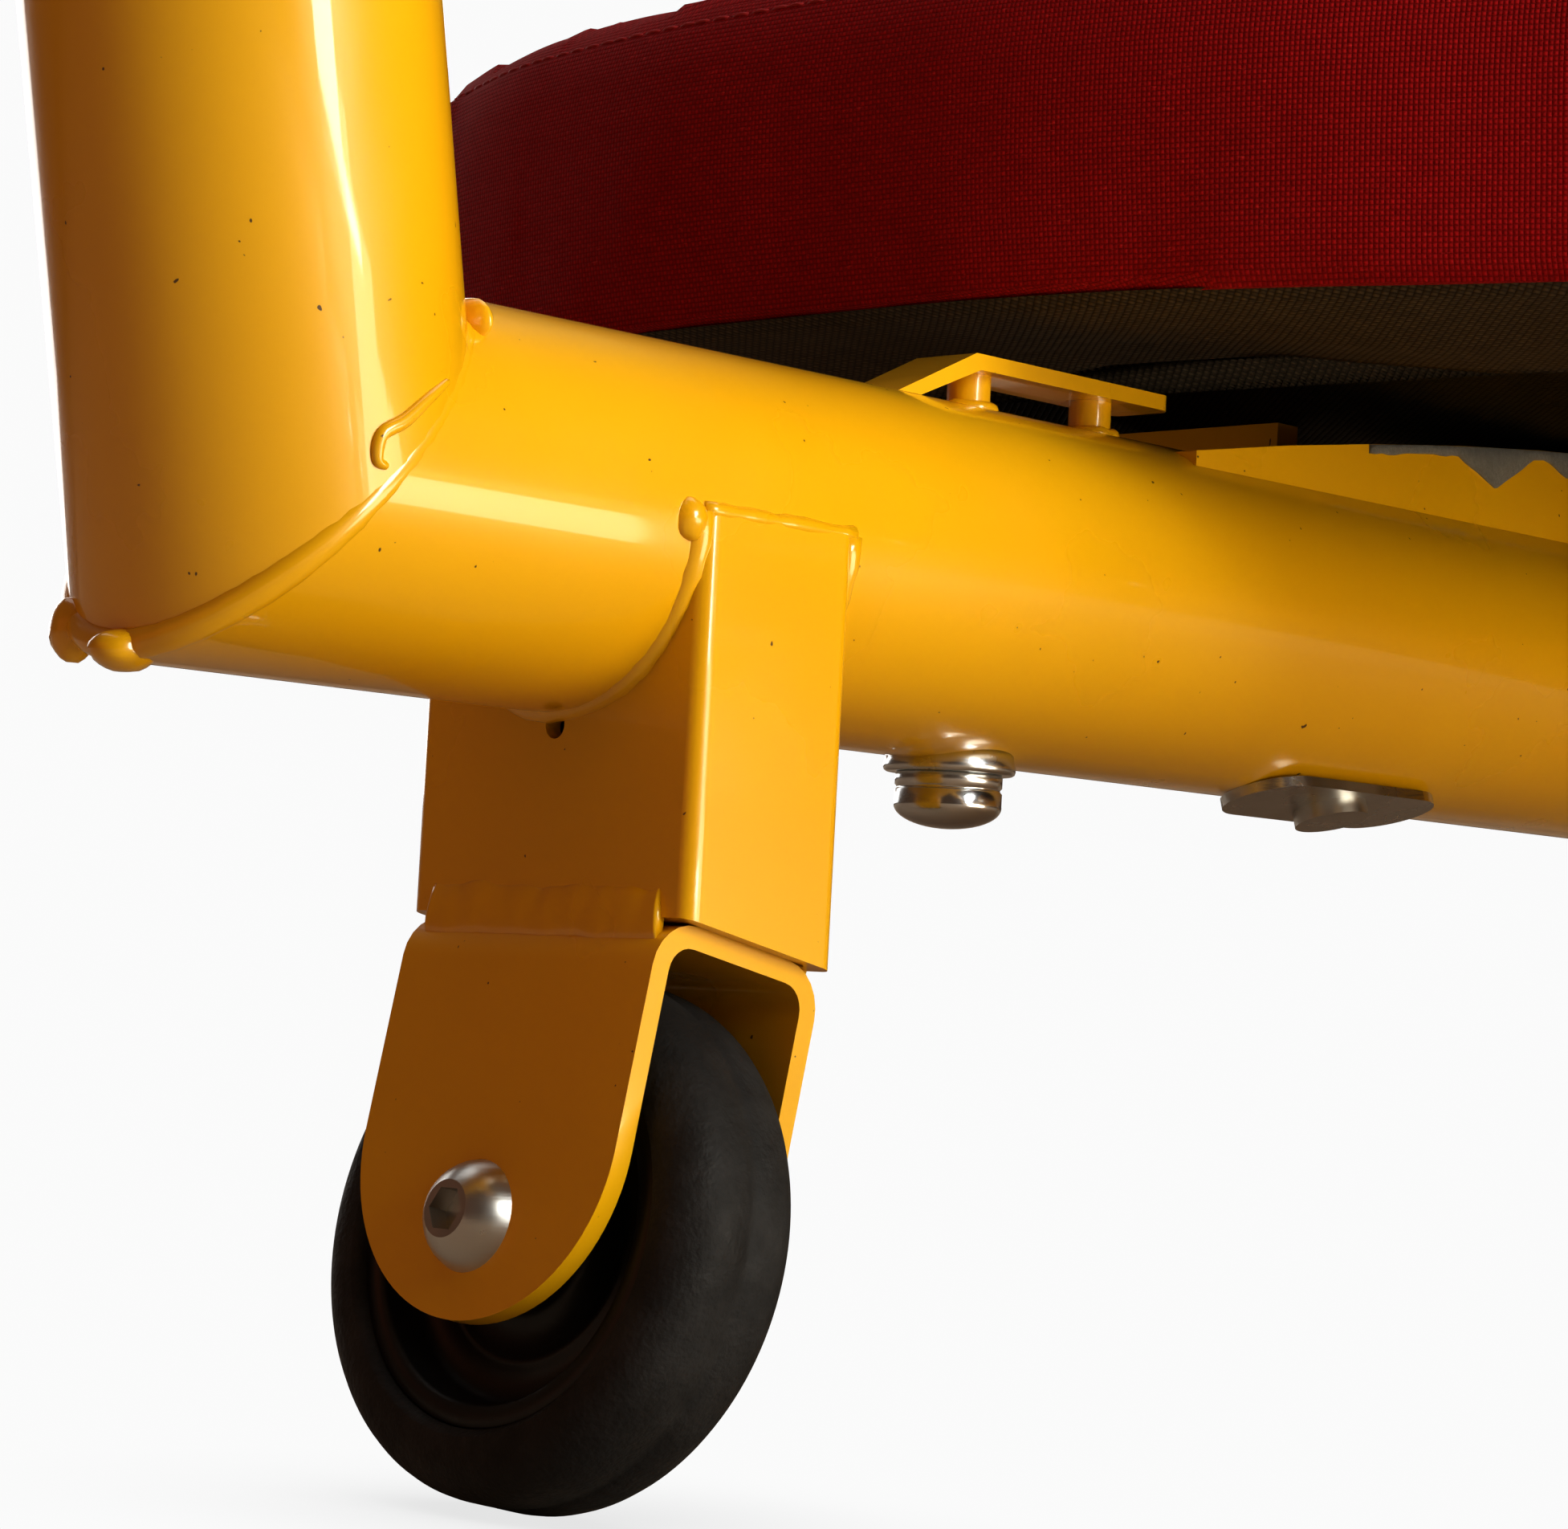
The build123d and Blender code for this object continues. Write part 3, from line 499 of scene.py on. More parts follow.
def frame_welds():
    """Mitre seams: a low smooth bead, a lump in the crotch and two drops at the low corner."""
    beads = Pieces()
    for index, (y, end) in enumerate(((HEAD_Y, 1), (FOOT_Y, -1))):
        path = mitre_path(y, end)
        seam = [p - (p - Vector((p.x, y, TUBE_Z))).normalized() * 0.0018 for p in path]
        beads.add_both(tube_along(seam, bead_radius(0.0020, index, 40, 0.10, 0.02), sides=16, closed=True))
        for turn, rise, size, seed in (
            (0.345, -0.0012, (0.0016, 0.0050, 0.0028), 3.0),
            (0.835, 0.0008, (0.0028, 0.0030, 0.0038), 5.0),
            (0.750, 0.0012, (0.0040, 0.0036, 0.0024), 7.0),
        ):
            beads.add_both(blob(on_seam(path, turn, rise, end), size, seed + index))
    return beads.build("frame_weld_beads", POWDER)


def smooth_path(points, steps):
    """A Catmull-Rom curve through points."""
    padded = [points[0]] + points + [points[-1]]
    curve = []
    for a, b, c, d in zip(padded, padded[1:], padded[2:], padded[3:]):
        for i in range(steps):
            t = i / steps
            curve.append(0.5 * (
                2 * b + (c - a) * t + (2 * a - 5 * b + 4 * c - d) * t ** 2 + (3 * b - a - 3 * c + d) * t ** 3
            ))
    return curve + [points[-1]]


def run_radius(share):
    """Radius of a filler run: thin at its ends."""
    return 0.0003 + 0.0006 * math.sin(math.pi * share) ** 0.6


def filler_runs():
    """A curled run of filler above each mitre at the head end."""
    runs = Pieces()
    path = mitre_path(HEAD_Y, 1, 360)
    turns = (0.450, 0.478, 0.506, 0.528, 0.533, 0.524)
    rises = (0.0024, 0.0040, 0.0052, 0.0066, 0.0046, 0.0026)
    points = [on_seam(path, turn, rise) for turn, rise in zip(turns, rises)]
    curve = smooth_path(points, 10)
    runs.add_both(tube_along(curve, run_radius, sides=12))
    return runs.build("mitre_filler_runs", POWDER)


def cope_path(x, y, steps=40, margin=0.0):
    """Half round the underside of a cross tube, in a plane across it."""
    points = []
    for i in range(steps):
        turn = math.pi + margin + (math.pi - 2 * margin) * i / (steps - 1)
        points.append(Vector((x, y + TUBE_R * math.cos(turn), TUBE_Z + TUBE_R * math.sin(turn))))
    return points


def post_welds():
    """Welds round the head of each post, and the ball at its front corner."""
    beads = Pieces()
    outboard, inboard = -POST_X - POST_T / 2, -POST_X + POST_T / 2
    for index, y in enumerate((HEAD_Y, FOOT_Y)):
        for face, way in ((outboard, -1), (inboard, 1)):
            path = [p - (p - Vector((p.x, y, TUBE_Z))).normalized() * 0.0008 for p in cope_path(face, y)]
            beads.add_both(tube_along(path, bead_radius(0.0018, 11 + index + way, 22, 0.22), sides=14))
        for side in (-1, 1):
            edge = y + side * (POST_W / 2 - 0.0009)
            path = [Vector((outboard + POST_T * i / 15, edge, TUBE_Z + 0.0002)) for i in range(16)]
            beads.add_both(tube_along(path, bead_radius(0.0011, 21 + index + side, 8, 0.3)))
            ball = Vector((outboard - 0.0020, y + side * (TUBE_R - 0.0006), TUBE_Z - 0.0012))
            beads.add_both(blob(ball, (0.0024, 0.0022, 0.0027), 31 + index + side))
    return beads.build("post_weld_beads", POWDER)


def fork_frame():
    """Origin at the low outboard edge of the left wheel post, X along the axle."""
    origin = Vector((-POST_X - POST_T / 2, HEAD_Y, TUBE_Z - POST_DROP))
    across = FORK_UP.cross(FORK_AXIS)
    rotation = Matrix((FORK_AXIS, across, FORK_UP)).transposed().to_4x4()
    return Matrix.Translation(origin) @ rotation


def fork_strip():
    """Middle surface of the folded fork: rows across the strip, from tip to tip."""
    mid = FORK_PLATE / 2
    near, far = mid - FORK_OVERHANG, FORK_OUT - FORK_OVERHANG - mid
    bend = FORK_BEND + mid
    round_z = -(FORK_LENGTH - FORK_W / 2)
    half_width = [FORK_W / 2 * math.cos(math.radians(angle)) for angle in TIP_TURNS]
    drop = [FORK_W / 2 * math.sin(math.radians(angle)) for angle in TIP_TURNS]
    side = [(near, round_z - fall, half) for fall, half in zip(drop, half_width)]
    rise = -mid - bend - round_z
    side += [(near, round_z + rise * i / SIDE_ROWS, FORK_W / 2) for i in range(1, SIDE_ROWS + 1)]
    for angle in BEND_TURNS:
        turn = math.radians(angle)
        side.append((near + bend * (1 - math.cos(turn)), -mid - bend * (1 - math.sin(turn)), FORK_W / 2))
    middle = (near + far) / 2
    return side + [(2 * middle - x, z, half) for x, z, half in reversed(side)]


def folded_forks():
    """The fixed forks, folded from plate with softly rounded cut edges, without their axle bores."""
    across = FORK_ACROSS
    place = fork_frame()
    verts, faces = [], []
    strip = fork_strip()
    for x, z, half in strip:
        verts += [place @ Vector((x, half * (2 * k / across - 1), z)) for k in range(across + 1)]
    for i in range(len(strip) - 1):
        for k in range(across):
            a = i * (across + 1) + k
            faces.append((a, a + 1, a + across + 2, a + across + 1))
    for side, matrix in (("left", None), ("right", MIRROR_X)):
        shell = Pieces()
        shell.add((verts, faces), matrix)
        piece = shell.build(f"folded_{side}_fork", POWDER, "frame")
        skin = piece.modifiers.new("plate", "SOLIDIFY")
        skin.thickness = FORK_PLATE
        skin.offset = 0
        rim = piece.modifiers.new("rim", "BEVEL")
        rim.width = FORK_RIM
        rim.segments = 3
        rim.limit_method = "ANGLE"
        rim.angle_limit = math.radians(60)
        piece.modifiers.new("flat_faces", "WEIGHTED_NORMAL")
        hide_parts(f"head_{side}_fork")


def fork_welds():
    """The broad rough bands that join each fixed fork to its post."""
    bands = Pieces()
    place = fork_frame()
    for along, seed, width in ((-0.0003, 41, 0.0036), (POST_T, 42, 0.0020)):
        points = []
        for i in range(120):
            share = i / 119
            across = (share - 0.5) * (FORK_W - 0.004)
            wander = noise.noise(Vector((share * 7, seed, 0)))
            points.append(place @ Vector((along, across, 0.0004 + 0.0006 * wander)))
        radius = bead_radius(width, seed, 9, 0.16, 0.02)
        bands.add_both(tube_along(points, radius, sides=16, flatten=0.24, up=FORK_AXIS))
    return bands.build("fork_weld_bands", POWDER)


def ring_weld(centre, normal_radius, size, seed, steps=28):
    points = [
        centre + Vector((normal_radius * math.cos(t), normal_radius * math.sin(t), 0))
        for t in [2 * math.pi * i / steps for i in range(steps)]
    ]
    return tube_along(points, bead_radius(size, seed, 6, 0.3), closed=True, up=Vector((0, 0, 1)))


def small_welds():
    """Fillets round the cleat posts, the spine's ends and the casters' plates."""
    beads = Pieces()
    for index, reach in enumerate(CLEAT_POSTS):
        centre = Vector((-HALF_TRACK + reach, HEAD_Y, TUBE_Z + TUBE_R - 0.0002))
        beads.add_both(ring_weld(centre, CLEAT_POST_R + 0.0003, 0.0010, 50 + index))
    spine_low, spine_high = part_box("spine_tube")
    for y, way in ((HEAD_Y, -1), (FOOT_Y, 1)):
        for z in (spine_low.z, spine_high.z):
            reach = math.sqrt(max(0, TUBE_R ** 2 - (z - TUBE_Z) ** 2))
            path = [
                Vector((spine_low.x + (spine_high.x - spine_low.x) * i / 30, y + way * (reach + 0.0003), z))
                for i in range(31)
            ]
            beads.add(tube_along(path, bead_radius(0.0016, 60 + y + z, 14, 0.3)))
    plate_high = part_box("foot_left_caster_plate")[1]
    z = plate_high.z + 0.0003
    corners = [(-1, -1), (1, -1), (1, 1), (-1, 1)]
    path = []
    for (ax, ay), (bx, by) in zip(corners, corners[1:] + corners[:1]):
        for i in range(12):
            x = ax + (bx - ax) * i / 12
            y = ay + (by - ay) * i / 12
            path.append(Vector((-POST_X + x * POST_T / 2, FOOT_Y + y * POST_W / 2, z)))
    beads.add_both(tube_along(path, bead_radius(0.0012, 70, 26, 0.3), closed=True))
    return beads.build("small_weld_beads", POWDER)


# ---------------------------------------------------------------- wheels
def tyre_profile():
    """Half-round shoulders, a raised parting line and a step where the hub sits."""
    half, flat = WHEEL_W / 2, WHEEL_W / 2 - SHOULDER_R
    profile = [(TYRE_INNER_R, -half + 0.0012), (TYRE_INNER_R + 0.0010, -half)]
    profile += [(WHEEL_R - SHOULDER_R - 0.0012, -half)]
    for i in range(9):
        turn = math.pi / 2 * i / 8
        profile.append((
            WHEEL_R - SHOULDER_R + SHOULDER_R * math.sin(turn),
            -flat - SHOULDER_R * math.cos(turn),
        ))
    profile += [(WHEEL_R, -0.0009), (WHEEL_R - 0.00025, -0.0005), (WHEEL_R - 0.0002, 0.0)]
    mirrored = [(radius, -along) for radius, along in reversed(profile[:-1])]
    return profile + mirrored


def hub_profile():
    """Rim, dished web with two rings, and the boss on the sleeve."""
    half = [
        (0.00605, -0.0112), (0.0090, -0.0112), (0.0095, -0.0107), (0.0097, -0.0040), (0.0104, -0.0030),
        (0.0150, -0.0026), (0.0154, -0.0032), (0.0163, -0.0032), (0.0168, -0.0026), (0.0200, -0.0028),
        (0.0212, -0.0040), (0.0218, -0.0078), (0.0224, -0.0086), (0.0247, -0.0086), (0.0250, -0.0082),
    ]
    return half + [(radius, -along) for radius, along in reversed(half)]


def wheel_frames():
    """Each wheel's name, body and axle frame."""
    head = fork_frame() @ Matrix.Translation((FORK_OUT / 2 - FORK_OVERHANG, 0, -AXLE_DROP))
    head = head @ Matrix.Rotation(math.pi / 2, 4, "Y")
    foot = Matrix.Translation((-POST_X, FOOT_Y - TRAIL, WHEEL_R)) @ Matrix.Rotation(math.pi / 2, 4, "Y")
    return {
        "head_left": head,
        "head_right": MIRROR_X @ head,
        "foot_left": foot,
        "foot_right": MIRROR_X @ foot,
    }


def wheels():
    for name, place in wheel_frames().items():
        for part, profile, material, slot in (
            ("tyre", tyre_profile(), RUBBER, "tyre"),
            ("hub", hub_profile(), NYLON, "wheel_hub"),
        ):
            shell = Pieces()
            shell.add(lathe(profile, place))
            piece = shell.build(f"{name}_moulded_{part}", material, f"{name}_wheel")
            face_outwards(piece.data)
            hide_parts(f"{name}_{part}")


def dome_nuts():
    """Washer and grooved dome nut under each strap cleat, turned from one bar."""
    top = TUBE_Z - TUBE_R
    for name, node, profile in (
        ("grooved_dome_nuts", "dome_nuts", dome_profile()),
        ("rolled_washers", "dome_nut_washers", washer_profile()),
    ):
        shell = Pieces()
        shell.add_both(lathe(profile, Matrix.Translation((-HALF_TRACK + CLEAT_POSTS[0], HEAD_Y, top)), 72))
        piece = shell.build(name, CHROME, "frame")
        face_outwards(piece.data)
        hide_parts(node)


def washer_profile():
    return [
        (0.0031, 0.0010), (0.0031, -0.0016), (0.0086, -0.0016), (0.0089, -0.0014), (0.0090, -0.0010),
        (0.0090, -0.0004), (0.0088, 0.0), (0.0086, 0.0016),
    ]


def dome_profile():
    profile = [
        (0.00005, -0.0014), (0.0071, -0.0016), (0.0073, -0.0019), (0.0073, -0.0033), (0.0071, -0.0035),
        (0.0070, -0.0037), (0.0071, -0.0039), (0.0073, -0.0041), (0.0073, -0.0058),
    ]
    for i in range(13):
        turn = math.pi / 2 * i / 12
        profile.append((0.0073 * math.cos(turn) + 0.00003, -0.0060 - 0.0031 * math.sin(turn)))
    return profile


def face_outwards(mesh):
    bm = bmesh.new()
    bm.from_mesh(mesh)
    bmesh.ops.recalc_face_normals(bm, faces=bm.faces)
    bm.to_mesh(mesh)
    bm.free()


# ---------------------------------------------------------------- upholstery
def arc(cx, cy, radius, start, stop, steps):
    return [
        Vector((cx + radius * math.cos(t), cy + radius * math.sin(t), 0))
        for t in [start + (stop - start) * i / steps for i in range(steps)]
    ]


def pad_outline(inset):
    """The deck's plan: shoulders, waist and hips, anticlockwise from the head end."""
    tangents = []
    for waist_r in (WAIST_R_HEAD, WAIST_R_FOOT):
        tangents.append(math.acos((waist_r + WAIST_HALF) / (waist_r + LOBE_R)))
    lobe = LOBE_R - inset
    dip_head, dip_foot = tangents
    to_head = Vector((math.cos(dip_head), math.sin(dip_head), 0))
    to_foot = Vector((-math.cos(dip_foot), math.sin(dip_foot), 0))
    hollow_head = Vector((0, LOBE_HEAD_Y, 0)) - (LOBE_R + WAIST_R_HEAD) * to_head
    hollow_foot = Vector((0, LOBE_FOOT_Y, 0)) + (LOBE_R + WAIST_R_FOOT) * to_foot
    straight = SHOULDER_STRAIGHT
    left = arc(-straight, LOBE_HEAD_Y + straight, lobe - straight, math.pi / 2, math.pi, 70)
    left += arc(0, LOBE_HEAD_Y, lobe, math.pi, math.pi + dip_head, 30)
    left += arc(hollow_head.x, hollow_head.y, WAIST_R_HEAD + inset, dip_head, 0, 40)
    left += arc(hollow_foot.x, hollow_foot.y, WAIST_R_FOOT + inset, 0, -dip_foot, 60)
    left += arc(0, LOBE_FOOT_Y, lobe, math.pi - dip_foot, 1.5 * math.pi, 90)
    right = [Vector((-p.x, p.y, 0)) for p in reversed(left)]
    return left + [Vector((0, LOBE_FOOT_Y - lobe, 0))] + right


def headrest_outline(inset):
    """A rounded rectangle, anticlockwise."""
    x, r = rest_high.x - inset, HEADREST_CORNER - inset
    low, high = rest_low.y + inset, rest_high.y - inset
    points = arc(x - r, high - r, r, 0, math.pi / 2, 16)
    points += arc(-x + r, high - r, r, math.pi / 2, math.pi, 16)
    points += arc(-x + r, low + r, r, math.pi, 1.5 * math.pi, 16)
    points += arc(x - r, low + r, r, 1.5 * math.pi, 2 * math.pi, 16)
    return points


def even_loop(points, spacing):
    """A closed outline stepped out evenly, and its length."""
    lengths = [0.0]
    for a, b in zip(points, points[1:] + points[:1]):
        lengths.append(lengths[-1] + (b - a).length)
    total = lengths[-1]
    count = round(total / spacing)
    loop, index = [], 0
    for i in range(count):
        want = total * i / count
        while lengths[index + 1] < want:
            index += 1
        share = (want - lengths[index]) / (lengths[index + 1] - lengths[index])
        loop.append(points[index].lerp(points[(index + 1) % len(points)], share))
    return loop, total


def slab(outline, low, high):
    """A closed slab of an outline, flat above and below."""
    count = len(outline)
    verts = [p + Vector((0, 0, low)) for p in outline] + [p + Vector((0, 0, high)) for p in outline]
    faces = [tuple(range(count - 1, -1, -1)), tuple(range(count, 2 * count))]
    faces += [(i, (i + 1) % count, count + (i + 1) % count, count + i) for i in range(count)]
    return mesh_from("slab", verts, faces)


def cut_recess(mesh, outline, low):
    """The pocket in a cushion's base that its board lies in."""
    body = bpy.data.objects.new("foam", mesh)
    cutter = bpy.data.objects.new("pocket", slab(outline, low - BOARD_T, low + BOARD_T + BOARD_GAP))
    for obj in (body, cutter):
        bpy.context.scene.collection.objects.link(obj)
    cut = body.modifiers.new("pocket", "BOOLEAN")
    cut.operation = "DIFFERENCE"
    cut.solver = "MANIFOLD"
    cut.object = cutter
    result = evaluated_mesh(body)
    for obj in (body, cutter):
        bpy.data.objects.remove(obj)
    return result


def inflated(outline, low, high, voxel, cap):
    """The slab, remeshed and swollen by a short cloth simulation under pressure."""
    obj = bpy.data.objects.new("slab", slab(outline, low, high))
    bpy.context.scene.collection.objects.link(obj)
    remesh = obj.modifiers.new("remesh", "REMESH")
    remesh.mode = "VOXEL"
    remesh.voxel_size = voxel
    base = evaluated_mesh(obj)
    obj.modifiers.clear()
    obj.data = base
    start = [v.co.copy() for v in base.vertices]
    cloth = obj.modifiers.new("cloth", "CLOTH")
    cloth.settings.quality = 4
    cloth.settings.use_pressure = True
    cloth.settings.uniform_pressure_force = 4.0
    cloth.settings.effector_weights.gravity = 0.0
    cloth.settings.tension_stiffness = 20
    cloth.settings.compression_stiffness = 20
    cloth.settings.bending_stiffness = 2
    for number in range(1, 21):
        bpy.context.scene.frame_set(number)
    mesh = evaluated_mesh(obj)
    bpy.context.scene.frame_set(1)
    obj.modifiers.clear()
    obj.data = mesh
    mesh = obj.data
    for vert, was in zip(mesh.vertices, start):
        push = vert.co - was
        if push.length > cap:
            vert.co = was + push.normalized() * cap
    smooth_mesh(mesh, 4)
    subdivide = obj.modifiers.new("subdivide", "SUBSURF")
    subdivide.levels = subdivide.render_levels = 1
    final = evaluated_mesh(obj)
    bpy.data.objects.remove(obj)
    return final


def smooth_mesh(mesh, passes):
    bm = bmesh.new()
    bm.from_mesh(mesh)
    for _ in range(passes):
        bmesh.ops.smooth_vert(
            bm, verts=bm.verts, factor=0.5, use_axis_x=True, use_axis_y=True, use_axis_z=True
        )
    bm.to_mesh(mesh)
    bm.free()


class Outline:
    """Finds where a point lies round a pad: distance along the edge and distance inside it."""

    def __init__(self, points):
        self.loop, self.length = even_loop(points, 0.001)
        self.tree = KDTree(len(self.loop))
        for i, p in enumerate(self.loop):
            self.tree.insert(p, i)
        self.tree.balance()
        self.step = self.length / len(self.loop)

    def locate(self, co):
        _, index, _ = self.tree.find(Vector((co.x, co.y, 0)))
        count = len(self.loop)
        here = self.loop[index]
        along = (self.loop[(index + 1) % count] - self.loop[index - 1]).normalized()
        offset = Vector((co.x, co.y, 0)) - here
        inside = along.x * offset.y - along.y * offset.x
        return index * self.step + offset.dot(along), inside, Vector((along.y, -along.x, 0))


EDGE_DEPTH = 0.020
EDGE_SECTION = (
    (0.0, -0.5), (0.0198, -0.5), (0.0218, -0.30), (0.0232, -0.08), (0.0233, 0.12), (0.0218, 0.30),
    (0.0194, 0.385), (0.0150, 0.445), (0.0080, 0.485), (0.0, 0.5),
)


def section_reach(angle, height):
    """How far the wanted edge section lies from its middle in a direction."""
    way = (math.cos(angle), math.sin(angle))
    for (ax, az), (bx, bz) in zip(EDGE_SECTION, EDGE_SECTION[1:]):
        az, bz = az * height, bz * height
        cross = way[0] * (bz - az) - way[1] * (bx - ax)
        if abs(cross) < 1e-12:
            continue
        reach = (ax * (bz - az) - az * (bx - ax)) / cross
        share = (way[1] * ax - way[0] * az) / cross
        if reach > 0 and -1e-6 <= share <= 1 + 1e-6:
            return reach
    return height / 2


def true_edges(mesh, outline, low, high):
    """Keeps the simulated cloth's unevenness but brings its mean section to the upholstered one."""
    middle, height, bins = (low + high) / 2, high - low, 60
    places = [(vert, *outline.locate(vert.co)[1:]) for vert in mesh.vertices]
    sums = [[0.0, 0] for _ in range(bins + 1)]
    edge = []
    for vert, inside, outward in places:
        if inside < EDGE_DEPTH:
            x, z = EDGE_DEPTH - inside, vert.co.z - middle
            angle = math.atan2(z, x)
            slot = round((angle / math.pi + 0.5) * bins)
            sums[slot][0] += math.hypot(x, z)
            sums[slot][1] += 1
            edge.append((vert, outward, x, z, angle, slot))
    for vert, outward, x, z, angle, slot in edge:
        reach = math.hypot(x, z)
        wanted = section_reach(angle, height) + 0.8 * (reach - sums[slot][0] / sums[slot][1])
        vert.co += outward * (wanted - reach) * math.cos(angle)
        vert.co.z += (wanted - reach) * math.sin(angle)
    band = [(vert.co.z, inside) for vert, inside, _ in places if vert.co.z > middle]
    ring = [z for z, inside in band if EDGE_DEPTH <= inside < 1.4 * EDGE_DEPTH]
    lift = high - sum(ring) / len(ring)
    for vert, inside, _ in places:
        if inside >= EDGE_DEPTH:
            vert.co.z = min(vert.co.z + lift, high + 0.003) if vert.co.z > middle else low


def shape_cushion(mesh, outline, low, high, seam_drop, sewn=()):
    """Presses in the seams and adds the slack folds of the cover."""
    seam = high - seam_drop
    for vert in mesh.vertices:
        co = vert.co
        along, inside, outward = outline.locate(co)
        height = (co.z - low) / (high - low)
        if inside < 0.022:
            near = max(0.0, 1 - max(0.0, inside) / 0.022)
            groove = math.exp(-((co.z - seam) / 0.0012) ** 2)
            pucker = 0.5 + 0.5 * noise.noise(Vector((along * 90, 4, 1)))
            co -= outward * 0.0011 * groove * near
            fold = noise.noise(Vector((along * 22, co.z * 30, 2.0)))
            drag = noise.noise(Vector((along * 75, co.z * 12, 7.0))) * max(0, 1 - 2.6 * height)
            co += outward * near * (0.0011 * fold + 0.0009 * drag + 0.0003 * pucker * groove)
            co.z += near * 0.0008 * noise.noise(Vector((along * 30, 11, 5))) * max(0, 1 - 3 * height)
        if co.z > seam and inside > 0.01:
            co.z += 0.0016 * noise.noise(Vector((co.x * 14, co.y * 9, 3)))
        for place in sewn:
            dip = math.exp(-((co.y - place) / 0.0042) ** 2) * max(0.0, min(1.0, (co.z - seam) / 0.006))
            ruck = 0.0010 * noise.noise(Vector((co.x * 55, place * 40, 9)))
            ruck *= math.exp(-((co.y - place) / 0.02) ** 2) * max(0, min(1, (co.z - seam) / 0.01))
            co.z -= 0.0058 * dip * min(1.0, max(0.25, inside / 0.02)) - ruck
        co.z = max(co.z, low)
        vert.co = co


def weave_uv(mesh, outline, seam):
    """Woven directions in metres: round the side wall, and along the creeper on top."""
    layer = mesh.uv_layers.new(name="weave")
    placed = [outline.locate(v.co) for v in mesh.vertices]
    for poly in mesh.polygons:
        side = poly.center.z < seam and abs(poly.normal.z) < 0.75
        first = placed[poly.vertices[0]][0]
        for loop in poly.loop_indices:
            index = mesh.loops[loop].vertex_index
            co = mesh.vertices[index].co
            if side:
                along = placed[index][0]
                if along - first > outline.length / 2:
                    along -= outline.length
                if first - along > outline.length / 2:
                    along += outline.length
                layer.data[loop].uv = (along, co.z)
            else:
                layer.data[loop].uv = (co.x, co.y)


def sew(rows, surface, spots, length=0.0030, radius=0.00026):
    """Short raised stitches laid on a surface, one at each spot."""
    for start, way, outward in spots:
        points = []
        for i in range(5):
            share = i / 4
            probe = start + way * length * (share - 0.5)
            hit, normal, _, _ = surface.ray_cast(probe + outward * 0.03, -outward)
            if hit is None:
                break
            points.append(hit + normal * (radius * (0.9 * math.sin(math.pi * share) - 0.25)))
        if len(points) == 5:
            rows.add(tube_along(points, lambda share: radius, sides=6, up=outward))


def side_spots(outline, z, pitch):
    spots = []
    count = round(outline.length / pitch)
    for i in range(count):
        index = round(i * len(outline.loop) / count) % len(outline.loop)
        ahead = outline.loop[(index + 2) % len(outline.loop)]
        behind = outline.loop[index - 2]
        way = (ahead - behind).normalized()
        outward = Vector((way.y, -way.x, 0))
        spots.append((outline.loop[index] + Vector((0, 0, z)), way, outward))
    return spots


def cross_spots(outline, places, top, pitch):
    """Stitches across the top panel, a row each side of a sewn seam."""
    spots = []
    up = Vector((0, 0, 1))
    for place in places:
        for side in (-0.0032, 0.0032):
            y = place + side
            edge = max(abs(p.x) for p in outline.loop if abs(p.y - y) < 0.002) - 0.012
            count = int(2 * edge / pitch)
            for i in range(count):
                spots.append((Vector((-edge + pitch * (i + 0.5), y, top)), Vector((1, 0, 0)), up))
    return spots


def cushion(name, body, node, outline_at, low, high, voxel, cap, sewn=(), board_in=None):
    """A foam cushion in canvas: simulated body, seams, weave directions and stitching."""
    seam_drop = 0.0060
    base = even_loop(outline_at(0.0045), 0.004)[0]
    mesh = inflated(base, low, high - cap * 0.75, voxel, cap)
    outline = Outline(outline_at(0.0))
    true_edges(mesh, outline, low, high)
    shape_cushion(mesh, outline, low, high, seam_drop, sewn)
    if board_in is not None:
        mesh = cut_recess(mesh, outline_at(board_in - BOARD_GAP), low)
    weave_uv(mesh, outline, high - seam_drop)
    piece = new_object(name, mesh, RED, body)
    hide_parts(node)
    surface = BVHTree.FromPolygons([v.co for v in mesh.vertices], [tuple(p.vertices) for p in mesh.polygons])
    rows = Pieces()
    sew(rows, surface, side_spots(outline, high - seam_drop - 0.0016, 0.0038))
    sew(rows, surface, cross_spots(outline, sewn, high, 0.0050))
    rows.build(f"{name}_stitching", THREAD, body)


def lining_droop(p, inset, supports):
    """How far the lining hangs at a point: nothing at its edge and over each support."""
    droop = 0.0035 * min(1.0, inset / 0.03) * (0.75 + 0.5 * noise.noise(Vector((p.x * 9, p.y * 9, 8))))
    for y0, y1, reach in supports:
        away = max(y0 - p.y, p.y - y1, abs(p.x) - reach)
        droop *= min(1.0, max(0.0, away / 0.03))
    return droop


